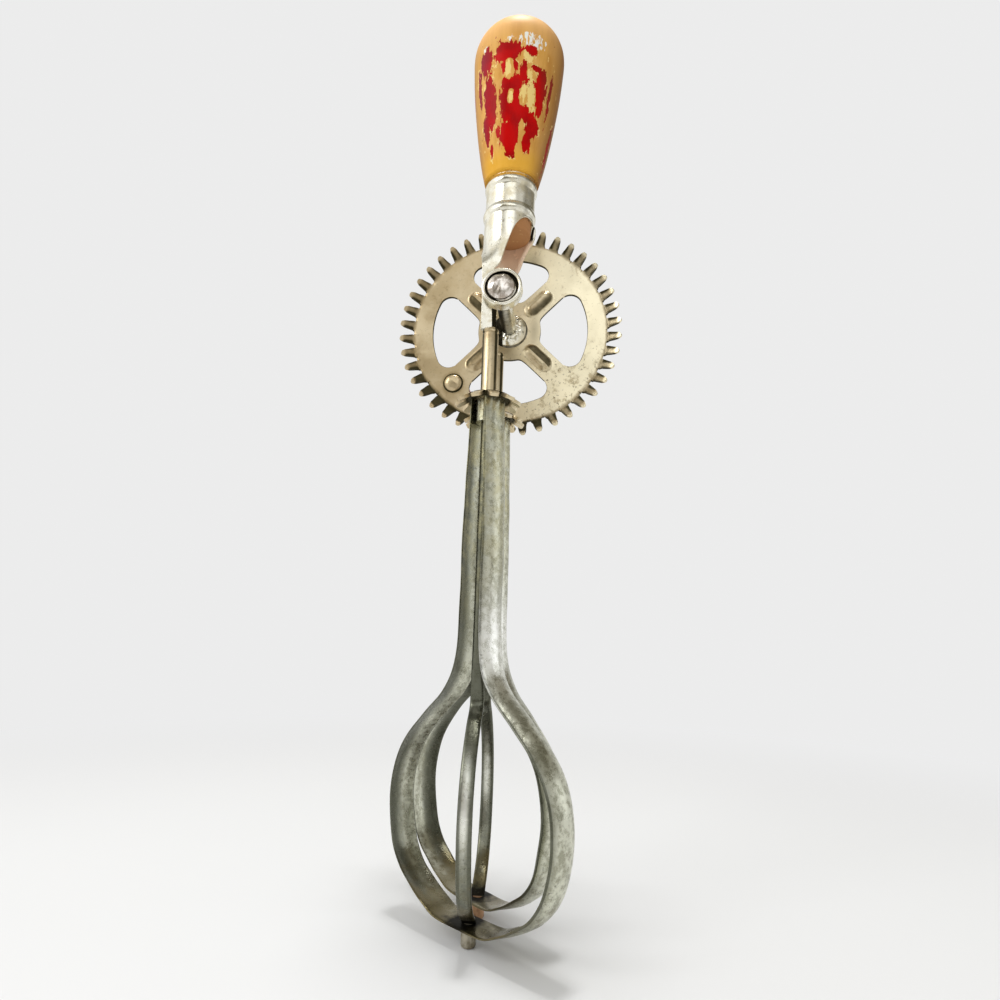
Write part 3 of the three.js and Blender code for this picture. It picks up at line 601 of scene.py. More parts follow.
def flaking_paint():
    """Varnished honey wood under glossy red paint, which is left where the paint number beats the noise.

    Primer shows beside the paint; above 261.5 mm white dashes are painted glints. The number shade is painted
    shade that darkens the wood, the wood's top is painted lighter as lit, and the red is painted brown at the
    right as shade.
    """
    f = Finish("flaking paint")
    grain = f.noise(420, 5, 0.6, f.stretched((1, 1, 0.07)))
    wood = f.blend(f.fade(grain, 0.35, 0.68), HONEY, HONEY_GRAIN)
    wood = f.blend(f.times(f.fade(f.noise(90, 4), 0.4, 0.62), 0.5), wood, HONEY_WARM)
    # Painted light: the wood is lighter near its top
    wood = f.blend(f.times(f.fade_along("Z", *HONEY_LIT_HEIGHT), 0.7), wood, HONEY_LIT_TOP)
    wood = f.blend(f.times(f.fade_along("Z", *HONEY_FOOT_HEIGHT), 0.6), wood, HONEY_FOOT)
    # Painted shade on the wood's sides
    wood = f.blend(f.times(f.attribute("shade"), 0.95), wood, HONEY_PAINTED_SHADE)
    wood = f.blend(f.fade_along("Z", *TENON_HEIGHT), wood, TENON_BROWN)
    fine = f.noise(1250, 4, 0.6, f.stretched((1, 1, 0.42)))
    broad = f.noise(430, 3, 0.6, f.stretched((1, 1, 0.3)))
    edge = f.plus(f.times(f.less(fine, 0.5), 1.5), f.times(f.less(broad, 0.5), 1.1))
    score = f.plus(f.attribute("paint"), edge)
    paint = f.fade(score, 0.44, 0.47)
    under = f.fade(f.plus(f.attribute("primer"), f.times(edge, 1.2)), 0.48, 0.54)
    rim = f.times(f.fade(score, 0.24, 0.32), f.fade(f.noise(330, 3), 0.54, 0.6))
    # Above the glint height primer gives way to white dashes, painted glints
    upper = f.fade_along("Z", *GLINT_HEIGHT)
    colour = f.blend(f.times(f.times(f.most(under, rim), 0.85), f.less(1, upper)), wood, PRIMER)
    dashes = f.fade(f.noise(1500, 2, 0.5, f.stretched((1, 1, 0.22))), 0.5, 0.54)
    colour = f.blend(f.times(f.times(under, upper), dashes), colour, PAINTED_GLINT)
    red = f.blend(f.fade(f.noise(120, 3), 0.35, 0.65), RED, RED_DEEP)
    front_left = f.times(f.fade_along("X", *VIOLET_SIDE), f.fade_along("Y", *VIOLET_DEPTH))
    red = f.blend(f.times(front_left, 0.8), red, RED_VIOLET)
    # Painted shade: the red turns brown towards the right side
    red = f.blend(f.fade_along("X", *SHADE_SIDE), red, RED_SHADE)
    colour = f.blend(paint, colour, red)
    f.relief(f.plus(paint, f.times(f.plus(grain, edge), 0.25)), 0.7, 0.16)
    return f.set(Base_Color=colour, Roughness=f.less(0.46, f.times(paint, 0.1)), Specular_IOR_Level=0.08)


def red_knob():
    """Worn red paint on the small knob."""
    f = Finish("red knob")
    colour = f.blend(f.fade(f.noise(260, 4), 0.55, 0.63), KNOB_RED, KNOB_WOOD)
    return f.set(Base_Color=colour, Roughness=0.4)


def pale_floor():
    """The pale surface that the beater stands on. Far from it, the camera and mirrors see plain backdrop."""
    f = Finish("pale floor")
    f.set(Base_Color=f.blend(f.noise(3, 2), FLOOR_GREY, FLOOR_PALE), Roughness=0.75)
    distance = f.add("ShaderNodeVectorMath", operation="LENGTH")
    f.feed(distance.inputs[0], f.place)
    far = f.fade(distance.outputs["Value"], FLOOR_FADE[0] * MM, FLOOR_FADE[1] * MM)
    seen = f.seen_by("Is Camera Ray", "Is Glossy Ray", "Is Transmission Ray")
    plain = f.add("ShaderNodeEmission")
    f.feed(plain.inputs["Color"], BACKDROP)
    f.give_out("Material Output", f.times(far, seen), f.shader.outputs["BSDF"], plain.outputs["Emission"])
    return f.material


FINISHES = {
    "nickel": bright_nickel(),
    "wheel_nickel": wheel_nickel(),
    "tinned_steel": tinned_strip(),
    "copper": clouded_pin("copper pin", 400, COPPER, COPPER_DARK, 0.8),
    "painted_wood": flaking_paint(),
    "red_wood": red_knob(),
    "dull_pin": clouded_pin("dull pin", 450, PIN_TAN, PIN_DARK, 0.9),
}


def grid_faces(rows, columns, ring=True):
    """Four-cornered faces of a grid whose corners are counted row by row.

    A ring joins its last column to its first.
    """
    i = np.arange(rows - 1)[:, None] * columns
    j = np.arange(columns if ring else columns - 1)[None, :]
    k = (j + 1) % columns
    return np.stack([i + j, i + k, i + columns + k, i + columns + j], axis=-1).reshape(-1, 4)


def make_piece(name, grids, body, slot, nodes=(), numbers=None, sharp=40, caps=True, finish=None):
    """One object from grids of corners in millimetres, welded at its seams and poles, faces outward.

    grids holds (corners of shape rows, columns, 3; whether the columns close into a ring). Each closed
    ring at the end of a grid gets a cap unless caps is off, and at a pole the cap shrinks to nothing.
    numbers holds named arrays with one number per corner. Edges that turn by more than sharp degrees stay
    sharp. finish names another finish than the slot's own.
    """
    corners, faces, count = [], [], 0
    for points, ring in grids:
        rows, columns = points.shape[:2]
        corners.append(points.reshape(-1, 3))
        faces += (grid_faces(rows, columns, ring) + count).tolist()
        if ring and caps:
            faces.append((np.arange(columns) + count).tolist()[::-1])
            faces.append((np.arange(columns) + count + (rows - 1) * columns).tolist())
        count += rows * columns
    mesh = bpy.data.meshes.new(name)
    mesh.from_pydata((np.concatenate(corners) * MM).tolist(), [], faces)
    for label, values in (numbers or {}).items():
        layer = mesh.attributes.new(label, "FLOAT", "POINT")
        layer.data.foreach_set("value", values.reshape(-1).astype(np.float32))
    work = bmesh.new()
    work.from_mesh(mesh)
    bmesh.ops.remove_doubles(work, verts=work.verts, dist=WELD * MM)
    bmesh.ops.recalc_face_normals(work, faces=work.faces)
    work.to_mesh(mesh)
    work.free()
    mesh.shade_smooth()
    mesh.set_sharp_from_angle(angle=math.radians(sharp))
    mesh.materials.append(FINISHES[finish or slot])
    piece = bpy.data.objects.new(name, mesh)
    bpy.context.scene.collection.objects.link(piece)
    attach(piece, body)
    if nodes:
        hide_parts(*nodes)
    return piece


def thicken(piece, thickness, edge):
    """Gives a sheet its thickness about its middle and rounds its cut edges."""
    solid = piece.modifiers.new("thickness", "SOLIDIFY")
    solid.thickness = thickness * MM
    solid.offset = 0
    solid.use_even_offset = False
    round_off = piece.modifiers.new("rounded edges", "BEVEL")
    round_off.width = edge * MM
    round_off.segments = 2
    round_off.limit_method = "ANGLE"
    round_off.angle_limit = math.radians(55)
    return piece


def surface(x, y, z):
    """Corners of a grid from its three coordinates, whose shapes need only match."""
    return np.stack(np.broadcast_arrays(x, y, z), axis=-1)


def smooth_path(corners, steps):
    """A curve through the corners, with steps points per span: centripetal Catmull-Rom in Hermite form."""
    corners = np.asarray(corners, float)
    ends = np.vstack([2 * corners[:1] - corners[1:2], corners, 2 * corners[-1:] - corners[-2:-1]])
    before, start, end, after = ends[:-3], ends[1:-2], ends[2:-1], ends[3:]
    spans = ((before, start), (start, end), (end, after))
    before_gap, gap, after_gap = (np.sqrt(np.linalg.norm(b - a, axis=1))[:, None] for a, b in spans)
    ahead = (end - start) / gap
    leave = ((start - before) / before_gap - (end - before) / (before_gap + gap) + ahead) * gap
    arrive = (ahead - (after - start) / (gap + after_gap) + (after - end) / after_gap) * gap
    s = np.linspace(0, 1, steps, endpoint=False)[None, :, None]
    start, end, leave, arrive = (a[:, None] for a in (start, end, leave, arrive))
    curve = (
        (2 * s**3 - 3 * s**2 + 1) * start + (s**3 - 2 * s**2 + s) * leave
        + (3 * s**2 - 2 * s**3) * end + (s**3 - s**2) * arrive
    )
    return np.vstack([curve.reshape(-1, corners.shape[1]), corners[-1:]])


def lengths(path):
    """How far along a path each of its points lies."""
    return np.cumsum(np.r_[0, np.linalg.norm(np.diff(path, axis=0), axis=1)])


def slopes(path):
    """Unit tangents of a path."""
    step = np.gradient(path, axis=0)
    return step / np.linalg.norm(step, axis=1)[:, None]


def smooth_step(value, start, end):
    """0 at start and 1 at end, with no slope at either."""
    share = np.clip((value - start) / (end - start), 0, 1)
    return share * share * (3 - 2 * share)


def plateau(value, rise, fall):
    """0, then 1, then 0 again, with a smooth step over the rise and one over the fall."""
    return smooth_step(value, *rise) * (1 - smooth_step(value, *fall))


def bump(value, middle, width, power=2):
    """A bell: 1 at its middle and 1/e at its width from there. A higher power makes its top flatter."""
    return np.exp(-(np.abs((value - middle) / width) ** power))


def ripple(*places, seed=1):
    """Gentle unevenness: a sum of a few sine waves of random direction over the given coordinates."""
    random = np.random.default_rng(seed)
    total = 0
    for strength in (1, 0.7, 0.5, 0.35):
        turn = random.uniform(0, 2 * np.pi)
        total = total + strength * np.sin(sum(p * random.normal(0, 1) for p in places) / strength + turn)
    return total / 2.5


def oval(count, across_power, through_power):
    """A section as shares from -1 to 1 across and through it: a circle that lower powers make squarer."""
    turn = np.linspace(0, 2 * np.pi, count, endpoint=False)
    across = np.sign(np.cos(turn)) * np.abs(np.cos(turn)) ** across_power
    through = np.sign(np.sin(turn)) * np.abs(np.sin(turn)) ** through_power
    return across, through


def lathe(profile, columns=64):
    """Corners of a turned surface about +Z: each (radius, height) of the profile becomes a ring."""
    turn = np.linspace(0, 2 * np.pi, columns, endpoint=False)[None, :]
    radius, height = np.asarray(profile, float).T[:, :, None]
    return surface(radius * np.cos(turn), radius * np.sin(turn), height)


def dome(radius, height, base, way, fuller=1, count=10):
    """Profile of a low dome from its middle to its edge: a quarter ellipse, made fuller but no wider."""
    turn = np.linspace(np.pi / 2, 0, count)
    across = np.minimum(radius * np.cos(turn) * fuller, radius)
    return np.stack([across, base + way * height * np.sin(turn)], axis=1)


def turn_of(points, x=0, y=0):
    """The angle of each point round an upright axis at x and y, from the right."""
    return np.arctan2(points[..., 1] - y, points[..., 0] - x)


def away_from_axis(points):
    """How far each point lies from the Z axis."""
    return np.hypot(points[..., 0], points[..., 1])


def along_y(points, x, y, z):
    """A surface turned about +Z, laid down so that it is turned about +Y, and moved to its place."""
    return surface(points[..., 0] + x, points[..., 2] + y, -points[..., 1] + z)


def lean(points):
    """Slides everything above the tenon's end to the right, in proportion to its height above it."""
    rise = np.maximum(points[..., 2] - TENON_BOTTOM, 0)
    moved = points.copy()
    moved[..., 0] += rise * math.tan(HANDLE_LEAN)
    return moved


def joined(arrays):
    """The numbers of several grids in one row."""
    return np.concatenate([array.reshape(-1) for array in arrays])


# Patches of paint left on the handle: degrees to the right of the photographed front, height above the
# wood's lower end, half width in degrees, half height, and how strongly the patch counts
PAINT_PATCHES = [
    (-15, 38, 15.5, 3.6, 1.2), (-20, 33, 4.5, 2.6, 1), (-4, 33, 4, 2.2, 0.95), (16, 38.6, 6.5, 1.7, 1.05),
    (6.5, 31, 5, 4, 1.05), (-8, 27, 18, 2.8, 1.15), (-12, 23.5, 13, 2.6, 1.05), (-8, 20, 14, 2.2, 1.15),
    (5, 17, 24, 2.8, 1.2), (-8, 10.5, 15.5, 4, 1.25), (-7, 5.5, 9.5, 2.6, 1.1), (-28, 12, 4.5, 2.4, 0.95),
    (27, 13.5, 11, 3.2, 1.1), (20, 8, 7.5, 3, 1.05), (33, 26, 7.5, 7.5, 1.15), (24, 33.2, 9, 0.9, 0.9),
    (24, 27.5, 4, 1.2, 0.85), (50, 26, 3, 9, 0.85), (-46, 37.5, 9, 4.5, 1.05), (-41, 24, 10, 8.5, 1.05),
    (-38, 17, 7, 4, 1), (-50, 14.5, 8, 5, 0.9), (-42, 7, 3.5, 2.4, 0.9), (-60, 30, 5, 8, 0.75),
    (74, 12, 6, 8, 0.75), (98, 24, 9, 14, 1), (124, 34, 12, 6, 1.1), (142, 15, 14, 8, 1.1),
    (168, 30, 9, 10, 1), (-160, 12, 10, 7, 1.1), (-138, 28, 12, 11, 1.1), (-112, 16, 8, 10, 1),
    (-88, 32, 6, 8, 0.9), (180, 47, 16, 3, 1),
]
BARE_PATCHES = [
    (-9, 22.7, 3.4, 2.2, 1.5), (-12, 32.4, 3.6, 3.2, 1.2), (9, 23.5, 4, 2.4, 1.1), (9.5, 12, 2.2, 4, 1.2),
    (21, 22, 4, 3, 1), (-26, 30, 4, 3, 0.8),
]
# Primer patches; those above the glint height give the white painted glints
PRIMER_PATCHES = [
    (10, 43, 9, 2.2, 1.1), (24, 42, 9, 2.6, 1.1), (2, 42, 5, 1.4, 0.9), (12, 36.5, 8, 3, 0.95),
    (-12, 42.6, 6, 1.3, 0.95), (-14, 32.5, 4, 3.2, 1.05), (-47, 42, 5, 1.6, 0.95), (-9, 22.7, 3.2, 1.9, 1.1),
    (9, 24, 4, 3, 0.95), (20, 24, 7, 5, 0.95), (26, 18.5, 4, 2.4, 0.9), (-50, 28, 4, 4, 0.75),
    (15, 30, 4, 4, 0.75), (110, 30, 8, 6, 0.9), (-125, 20, 8, 7, 0.9), (155, 22, 7, 6, 0.9),
]
FRONT_ANGLE = math.radians(-84)
UNPAINTED_FOOT = 0.5


def degrees_right(angle, of=0):
    """How many degrees an angle lies to the right of a place on the handle, between -180 and 180."""
    return (np.degrees(angle - FRONT_ANGLE) - of + 180) % 360 - 180


def patches(angle, height, rows):
    """How strongly each point belongs to the patches: the largest of their bells, and 0 at the foot."""
    strength = np.zeros_like(angle)
    for across, up, half_angle, half_height, weight in rows:
        distance = np.hypot(degrees_right(angle, across) / half_angle, (height - up) / half_height)
        strength = np.maximum(strength, weight * np.exp(-0.7 * distance**2.4))
    return strength * (height >= UNPAINTED_FOOT)


def handle_profile():
    """The wood's turned outline: up the tenon, out to the shoulder, up its side and in over a round dome."""
    side = [
        (SHOULDER_RADIUS + (HANDLE_RADIUS - SHOULDER_RADIUS) * width, HANDLE_BOTTOM + HANDLE_LENGTH * rise)
        for rise, width in HANDLE_SHARES
    ]
    dome_rise = HANDLE_LENGTH * (1 - HANDLE_SHARES[-1][0])
    top = dome(HANDLE_RADIUS, dome_rise, side[-1][1], 1, count=9)[-2::-1]
    wood = smooth_path(np.vstack([side, top]), 16)
    wood[:, 0] = np.clip(wood[:, 0], 0, HANDLE_RADIUS)
    wood[0, 1] += WOOD_EDGE
    tenon = [
        (0, TENON_BOTTOM), (TENON_RADIUS - WOOD_EDGE, TENON_BOTTOM), (TENON_RADIUS, TENON_BOTTOM + WOOD_EDGE),
        (TENON_RADIUS, HANDLE_BOTTOM), (SHOULDER_RADIUS - WOOD_EDGE, HANDLE_BOTTOM),
        (SHOULDER_RADIUS - WOOD_EDGE / 3, HANDLE_BOTTOM + WOOD_EDGE / 3),
    ]
    return np.vstack([tenon, wood])


def make_handle():
    """The pear-shaped wood: its turned outline, leaned with its ferrule.

    The paint is the paint patches less the bare ones. The shade is painted shade: it starts on both sides of
    the photographed front, further round on the left, and fades out again behind.
    """
    points = lathe(handle_profile(), 288)
    angle = turn_of(points)
    height = points[..., 2] - HANDLE_BOTTOM
    points[..., :2] += [HANDLE_X, HANDLE_Y]
    right = degrees_right(angle)
    # Painted shade on both sides of the front
    shade = smooth_step(right, 22, 80) + 0.6 * smooth_step(-right, 50, 90)
    numbers = {
        "paint": patches(angle, height, PAINT_PATCHES) - patches(angle, height, BARE_PATCHES),
        "primer": patches(angle, height, PRIMER_PATCHES),
        "shade": shade * (1 - smooth_step(np.abs(right), 105, 160)),
    }
    grids = [(lean(points), True)]
    return make_piece("wood_grip", grids, "frame", "painted_wood", ["wood_handle"], numbers, sharp=50)


def strip_path(steps=12):
    """The strip's middle line in its own plane: down one side, across the pivot and up the other."""
    top = STRIP_MID + BULB_HEIGHT
    half = np.array([
        (0, STRIP_MID),
        *((BULB_RADIUS * r, STRIP_MID + BULB_HEIGHT * h) for r, h in BULB_SHARES),
        (BULB_TOP_RADIUS, top),
        ((BULB_TOP_RADIUS + NECK_RADIUS) / 2, (top + NECK_TOP) / 2),
        (NECK_RADIUS, NECK_TOP),
    ])
    return smooth_path(np.vstack([half[:0:-1] * [-1, 1], half]), steps)


def square_to(tangent):
    """Unit vectors square to a flat path's tangents, on its outer side."""
    return np.stack([tangent[:, 1], -tangent[:, 0]], axis=1)


def make_blade(side, y, way, turn, seed):
    """A loop of strip: a rounded section carried along the loop's path, turned about the dasher's axis.

    Across the strip runs a share from -1 to 1. Both faces sag inwards with the square of the share, less
    near the pivot, and the whole strip is a little uneven, as a bent strip is. Soot is a bell about the
    pivot, stain falls off from it, a painted highlight is a bell on the right shoulder, and the painted
    margin shade rises towards the edges, over most of the inner face and over one side of the outer face.
    """
    path = strip_path()
    tangent = slopes(path)
    tangent[0], tangent[-1] = (0, -1), (0, 1)
    across, through = oval(28, 0.45, 0.7)
    run = np.abs(path[:, 0]) + path[:, 1] - STRIP_MID
    camber = STRIP_CAMBER * smooth_step(run, 9, 26)[:, None]
    free = smooth_step(run, 12, 30) * smooth_step(path[:, 1], NECK_TOP - 12, NECK_TOP - 30)
    length = lengths(path)[:, None]
    uneven = STRIP_WAVE * free[:, None] * ripple(length / 5, across[None, :] * 1.5, seed=seed)
    lift = through * STRIP_THICKNESS / 2 - camber * across**2 + uneven
    width = STRIP_WIDTH / 2 * (1 + 0.02 * ripple(length / 9, seed=seed + 5))
    flat = path[:, None, :] + square_to(tangent)[:, None, :] * lift[..., None]
    out, aside, height = flat[..., 0], across * width, flat[..., 1]
    points = surface(
        out * math.cos(turn) - aside * math.sin(turn),
        out * math.sin(turn) + aside * math.cos(turn) + y,
        height,
    )
    soot = 1.3 * bump(np.hypot(out + 1, aside * 0.8), 0, SOOT_RADIUS) * (height < STRIP_MID + SOOT_RISE)
    stain = np.clip(1.1 - np.hypot(out, height - STRIP_MID) / STAIN_REACH, 0, 1)
    # Painted highlight on the right shoulder
    painted_highlight = 1.2 * bump(height, HIGHLIGHT_HEIGHT, HIGHLIGHT_SPREAD) * (out > 0) * (1 - 0.5 * across**2)
    # Painted shade: the inner face, one side of the outer face and the edges are darker
    inner, outer = smooth_step(across * way, -0.5, 0.35), 0.6 * smooth_step(-across, 0.3, 0.95)
    margin_shade = np.where(through < 0, inner, outer) + 1.2 * smooth_step(np.abs(across), 0.9, 0.99)
    numbers = {"soot": soot, "stain": stain, "margin_shade": np.broadcast_to(margin_shade, soot.shape), "painted_highlight": painted_highlight}
    return make_piece(
        f"{side}_loop", [(points, True)], f"{side}_dasher", "tinned_steel", [f"{side}_blade"], numbers,
        sharp=50,
    )


def arm_path():
    """The arm's line: up from the pivot, bowed round the other dasher's sweep, then straight as a rod.

    The bow is the strip's outer corner line pushed out square to the strip's path, less the spacing. The
    third number of each point is 1 where the arm is flat and 0 where it is round.
    """
    path = strip_path(4)
    path = path[len(path) // 2:]
    tangent = slopes(path)
    push = STRIP_THICKNESS / 2 + ARM_THICKNESS / 2 + SWEEP_CLEARANCE
    offset = np.hypot(path[:, 0], STRIP_WIDTH / 2) + push * tangent[:, 1] - SPACING
    height = path[:, 1] - push * tangent[:, 0]
    keep = (offset > 0) & (height > ARM_END + ARM_THICKNESS)
    bow = np.stack([offset[keep], height[keep], np.ones(keep.sum())], axis=1)[::3]
    rod = [(0, bow[-1, 1] + rise, 0) for rise in ROD_RISES]
    return smooth_path(np.vstack([(0, ARM_END, 1), bow, *rod, (0, POST_TOP, 0)]), 8)


def make_arm(side, y, way):
    """A fixed arm: an oval section carried along the bow, flat and wide below and round above.

    Soot is a bell at the pivot, stain falls off with height, and a gleam, a painted highlight, is a bell on
    the bow's middle, which lightens the strip there and thins its painted dark margin. Its top is painted
    darker as shade.
    """
    path = arm_path()
    line, flat = path[:, :2], np.clip(path[:, 2], 0, 1)[:, None]
    line[:, 0] = np.maximum(line[:, 0], 0)
    tangent = slopes(line)
    tangent[[0, -1]] = (0, 1)
    power = 1 - 0.35 * flat
    across, through = oval(24, power, power)
    half_width = ROD_RADIUS + (ARM_WIDTH / 2 - ROD_RADIUS) * flat
    half_thick = ROD_RADIUS + (ARM_THICKNESS / 2 - ROD_RADIUS) * flat
    place = line[:, None, :] + square_to(tangent)[:, None, :] * (through * half_thick)[..., None]
    height = place[..., 1]
    points = surface(across * half_width, y + way * place[..., 0], height)
    # Painted light and shade: a highlight on the bow, a darker top and dark margins
    gleam = bump(height, GLEAM_HEIGHT, GLEAM_SPREAD) * bump(across, -0.1, 0.4)
    shaded_top = 0.25 * smooth_step(height, 40, 54)
    numbers = {
        "soot": 1.2 * bump(height, ARM_END, ARM_SOOT),
        "stain": np.clip(0.85 - height / ARM_STAIN_REACH, 0, 1),
        "margin_shade": 0.78 + shaded_top - 0.7 * gleam + smooth_step(np.abs(across), 0.45, 1),
        "painted_highlight": gleam,
    }
    return make_piece(
        f"{side}_bowed_arm", [(points, True)], "frame", "tinned_steel", [f"{side}_arm"], numbers, sharp=60,
    )


def tooth_reach(off, length, root, tip):
    """How far past the rim a tooth reaches at each distance off its middle, up to its length.

    The tooth is a peg: straight flanks from the root's half width to the tip's, easing in at the foot so
    that the gaps are shaped like a U, and a crown that falls off as a circle does.
    """
    flank = np.clip((root / 2 - np.abs(off)) / (root / 2 - tip / 2), 0, 1)
    eased = flank - 0.12 * np.sin(2 * np.pi * flank)
    crown = tip / 2 * (1 - np.sqrt(np.clip(1 - (off / (tip / 2)) ** 2, 0, 1)))
    return (length - tip / 2) * eased + np.where(flank >= 1, tip / 2 - crown, 0)


def window_edges(angle):
    """Inner and outer radius of a window of the wheel at each angle, equal where there is no window.

    A window lies between lines that run beside the spokes' middles, the hub disc and the rim's band. A ray
    from the middle enters at the line or the hub disc, with a soft corner between them, and leaves at the
    band or at the round of the outer corner, a circle that touches both the line and the band.
    """
    off = np.abs((angle + np.pi / 4) % (np.pi / 2) - np.pi / 4)
    from_spoke = np.maximum(np.pi / 4 - off, 1e-3)
    soft = 9
    inner = (HUB_DISC_RADIUS**soft + (SPOKE_HALF_WIDTH / np.sin(from_spoke)) ** soft) ** (1 / soft)
    round_middle = WINDOW_RADIUS - WINDOW_ROUND
    round_angle = math.asin((SPOKE_HALF_WIDTH + WINDOW_ROUND) / round_middle)
    aside = np.maximum(round_angle - from_spoke, 0)
    under = WINDOW_ROUND**2 - (round_middle * np.sin(aside)) ** 2
    outer = round_middle * np.cos(aside) + np.sqrt(np.maximum(under, 0))
    closed = (under <= 0) | (inner >= outer)
    corner = round_middle * np.cos(math.asin(WINDOW_ROUND / round_middle))
    return np.where(closed, corner, np.minimum(inner, outer)), np.where(closed, corner, outer)


def rib_height(x, z):
    """Height of the four pressed ribs over the sheet: soft-sided ridges along the two diagonals."""
    lift = np.zeros_like(x)
    inner, outer = RIB_INNER + RIB_HALF_WIDTH, RIB_OUTER - RIB_HALF_WIDTH
    for turn in (np.pi / 4, 3 * np.pi / 4):
        along = np.abs(x * np.cos(turn) + z * np.sin(turn))
        across = np.abs(-x * np.sin(turn) + z * np.cos(turn))
        past = np.maximum(np.maximum(along - outer, inner - along), 0)
        distance = np.hypot(past, across) / RIB_HALF_WIDTH
        lift = np.maximum(lift, RIB_DEPTH * (1 - smooth_step(distance, 0.3, 1.15)))
    return lift


def bent_edge(radius, rim, bend):
    """Radius and drop of a sheet that bends down past its rim: the bend eases in over a short length."""
    past = np.maximum(radius - rim, 0)
    eased = smooth_step(past, 0, BEND_EASE) * bend
    return rim + past * np.cos(eased) - np.maximum(rim - radius, 0), past * np.sin(eased)


def disc_columns(count, phase, rim):
    """Column angles of a toothed disc, and how far each lies off its tooth's middle along the rim.

    The columns crowd at the crown and the flanks: from the tooth's middle to the gap's they stand at set
    shares.
    """
    half = np.pi / count
    across = np.r_[-1, -TOOTH_COLUMNS[:0:-1], TOOTH_COLUMNS] * half
    angle = (np.arange(count)[:, None] + phase) * 2 * half + across[None, :]
    return angle.reshape(-1), np.tile(across * rim, count)


def tooth_grime(past, off, angle):
    """Dirt on the wheel's teeth, from how far past the rim and off the tooth's middle each point lies.

    It covers the faces and the feet, more on the right flank, and the cut edge up to the clean crown.
    The teeth near the pinion are darker.
    """
    face = plateau(past, (0, 1.2), (3.5, 4.7))
    flank = face * (0.42 + 0.4 * smooth_step(off, 0.1, 1.1) + 0.2 * smooth_step(-off, 0.5, 1.2))
    foot = 0.42 * smooth_step(past, -1.2, 0.2) * (past < 3.6)
    grime_and_shade = np.maximum(flank, foot)
    grime_and_shade[-1] = np.maximum(grime_and_shade[-1], 0.8 * (1 - smooth_step(past[-1], 3.6, 5)))
    by_pinion = smooth_step(np.cos(angle + math.radians(110)), 0.6, 0.95)
    return grime_and_shade + 0.6 * by_pinion * plateau(past, (-1.5, 1), (3.6, 4.8))


def make_wheel():
    """The drive wheel: a polar grid in two bands that part at the windows, ribbed and bent at its teeth.

    The grime_and_shade number is a thin line along the windows' edges, the teeth's dirt, the feet of the
    ribs, with painted shade on their lower side, and a ring round the rivet. The painted_shade number is the
    larger of two faint bells.
    """
    angle, off = disc_columns(WHEEL_TEETH, 0.5, WHEEL_RIM)
    inner, outer = window_edges(angle)
    open_here = outer - inner > 0.05
    share = np.append(np.linspace(0, 0.985, 34), 1)[:, None]
    inside = BUSH_NECK + (inner - BUSH_NECK) * share
    band = np.insert(np.linspace(0, 1, 8), 1, 0.03)[:, None]
    teeth = WHEEL_RIM + tooth_reach(off, **WHEEL_TOOTH) * TOOTH_ROWS[:, None]
    outside = np.vstack([outer + (WHEEL_RIM - outer) * band, teeth])
    inner_line = open_here * (share == 1)
    outer_line = tooth_grime(outside - WHEEL_RIM, off, angle)
    outer_line[0] = open_here
    rivet_x, rivet_z = CRANK_RADIUS * math.cos(CRANK_ANGLE), CRANK_RADIUS * math.sin(CRANK_ANGLE)
    grids, grime_and_shade, painted_shade = [], [], []
    for radius, line in ((inside, inner_line), (outside, outer_line)):
        flat_radius, drop = bent_edge(radius, WHEEL_RIM, WHEEL_BEND)
        x, z = flat_radius * np.cos(angle), flat_radius * np.sin(angle)
        rib = rib_height(x, z)
        lift = drop + rib + SHEET_WAVE * ripple(x / 9, z / 9, seed=3)
        grids.append((surface(x + AXLE_X, WHEEL_Y - lift, z + AXLE_Z), True))
        ring = 0.45 * bump(np.hypot(x - rivet_x, z - rivet_z), CRANK_HEAD_RADIUS, 1.1)
        # Painted shade: the ribs are darker on their lower side
        low_side = smooth_step((x - z) * np.sign(x + z + 0.01) / 4, -0.2, 0.5)
        rib_foot_and_shade = smooth_step(rib / RIB_DEPTH, 0.05, 0.5) * (0.2 + 0.42 * low_side)
        grime_and_shade.append(np.max([ring, rib_foot_and_shade, line], axis=0))
        # Painted shade bells below the cut-away and beside the hub
        bells = [most * bump(x, right, wide) * bump(z, up, tall) for most, right, wide, up, tall in WHEEL_SHADE_BELLS]
        painted_shade.append(np.max(bells, axis=0))
    numbers = {"grime_and_shade": joined(grime_and_shade), "painted_shade": joined(painted_shade)}
    piece = make_piece(
        "toothed_wheel", grids, "wheel", "wheel_nickel", ["drive_wheel"], numbers, sharp=60, caps=False,
    )
    return thicken(piece, SHEET, SHEET_EDGE)


def make_pinion(side, y, phase):
    """A crown pinion: a flat disc on the rod whose ten teeth bend down at its rim, dirty near the rim."""
    angle, off = disc_columns(PINION_TEETH, phase, PINION_RIM)
    disc = np.linspace(np.full_like(angle, ROD_RADIUS + RUNNING_FIT), PINION_RIM, 6)
    radius = np.vstack([disc, PINION_RIM + tooth_reach(off, **PINION_TOOTH) * TOOTH_ROWS[:, None]])
    flat_radius, drop = bent_edge(radius, PINION_RIM, PINION_BEND)
    points = surface(flat_radius * np.cos(angle), y + flat_radius * np.sin(angle), PINION_MID - drop)
    grime_and_shade = 0.8 * plateau(radius - PINION_RIM, (-4.5, -0.5), (0.3, 2))
    piece = make_piece(
        f"{side}_crown", [(points, True)], f"{side}_dasher", "wheel_nickel", [f"{side}_pinion"],
        {"grime_and_shade": grime_and_shade}, sharp=60, caps=False,
    )
    return thicken(piece, SHEET, SHEET_EDGE)


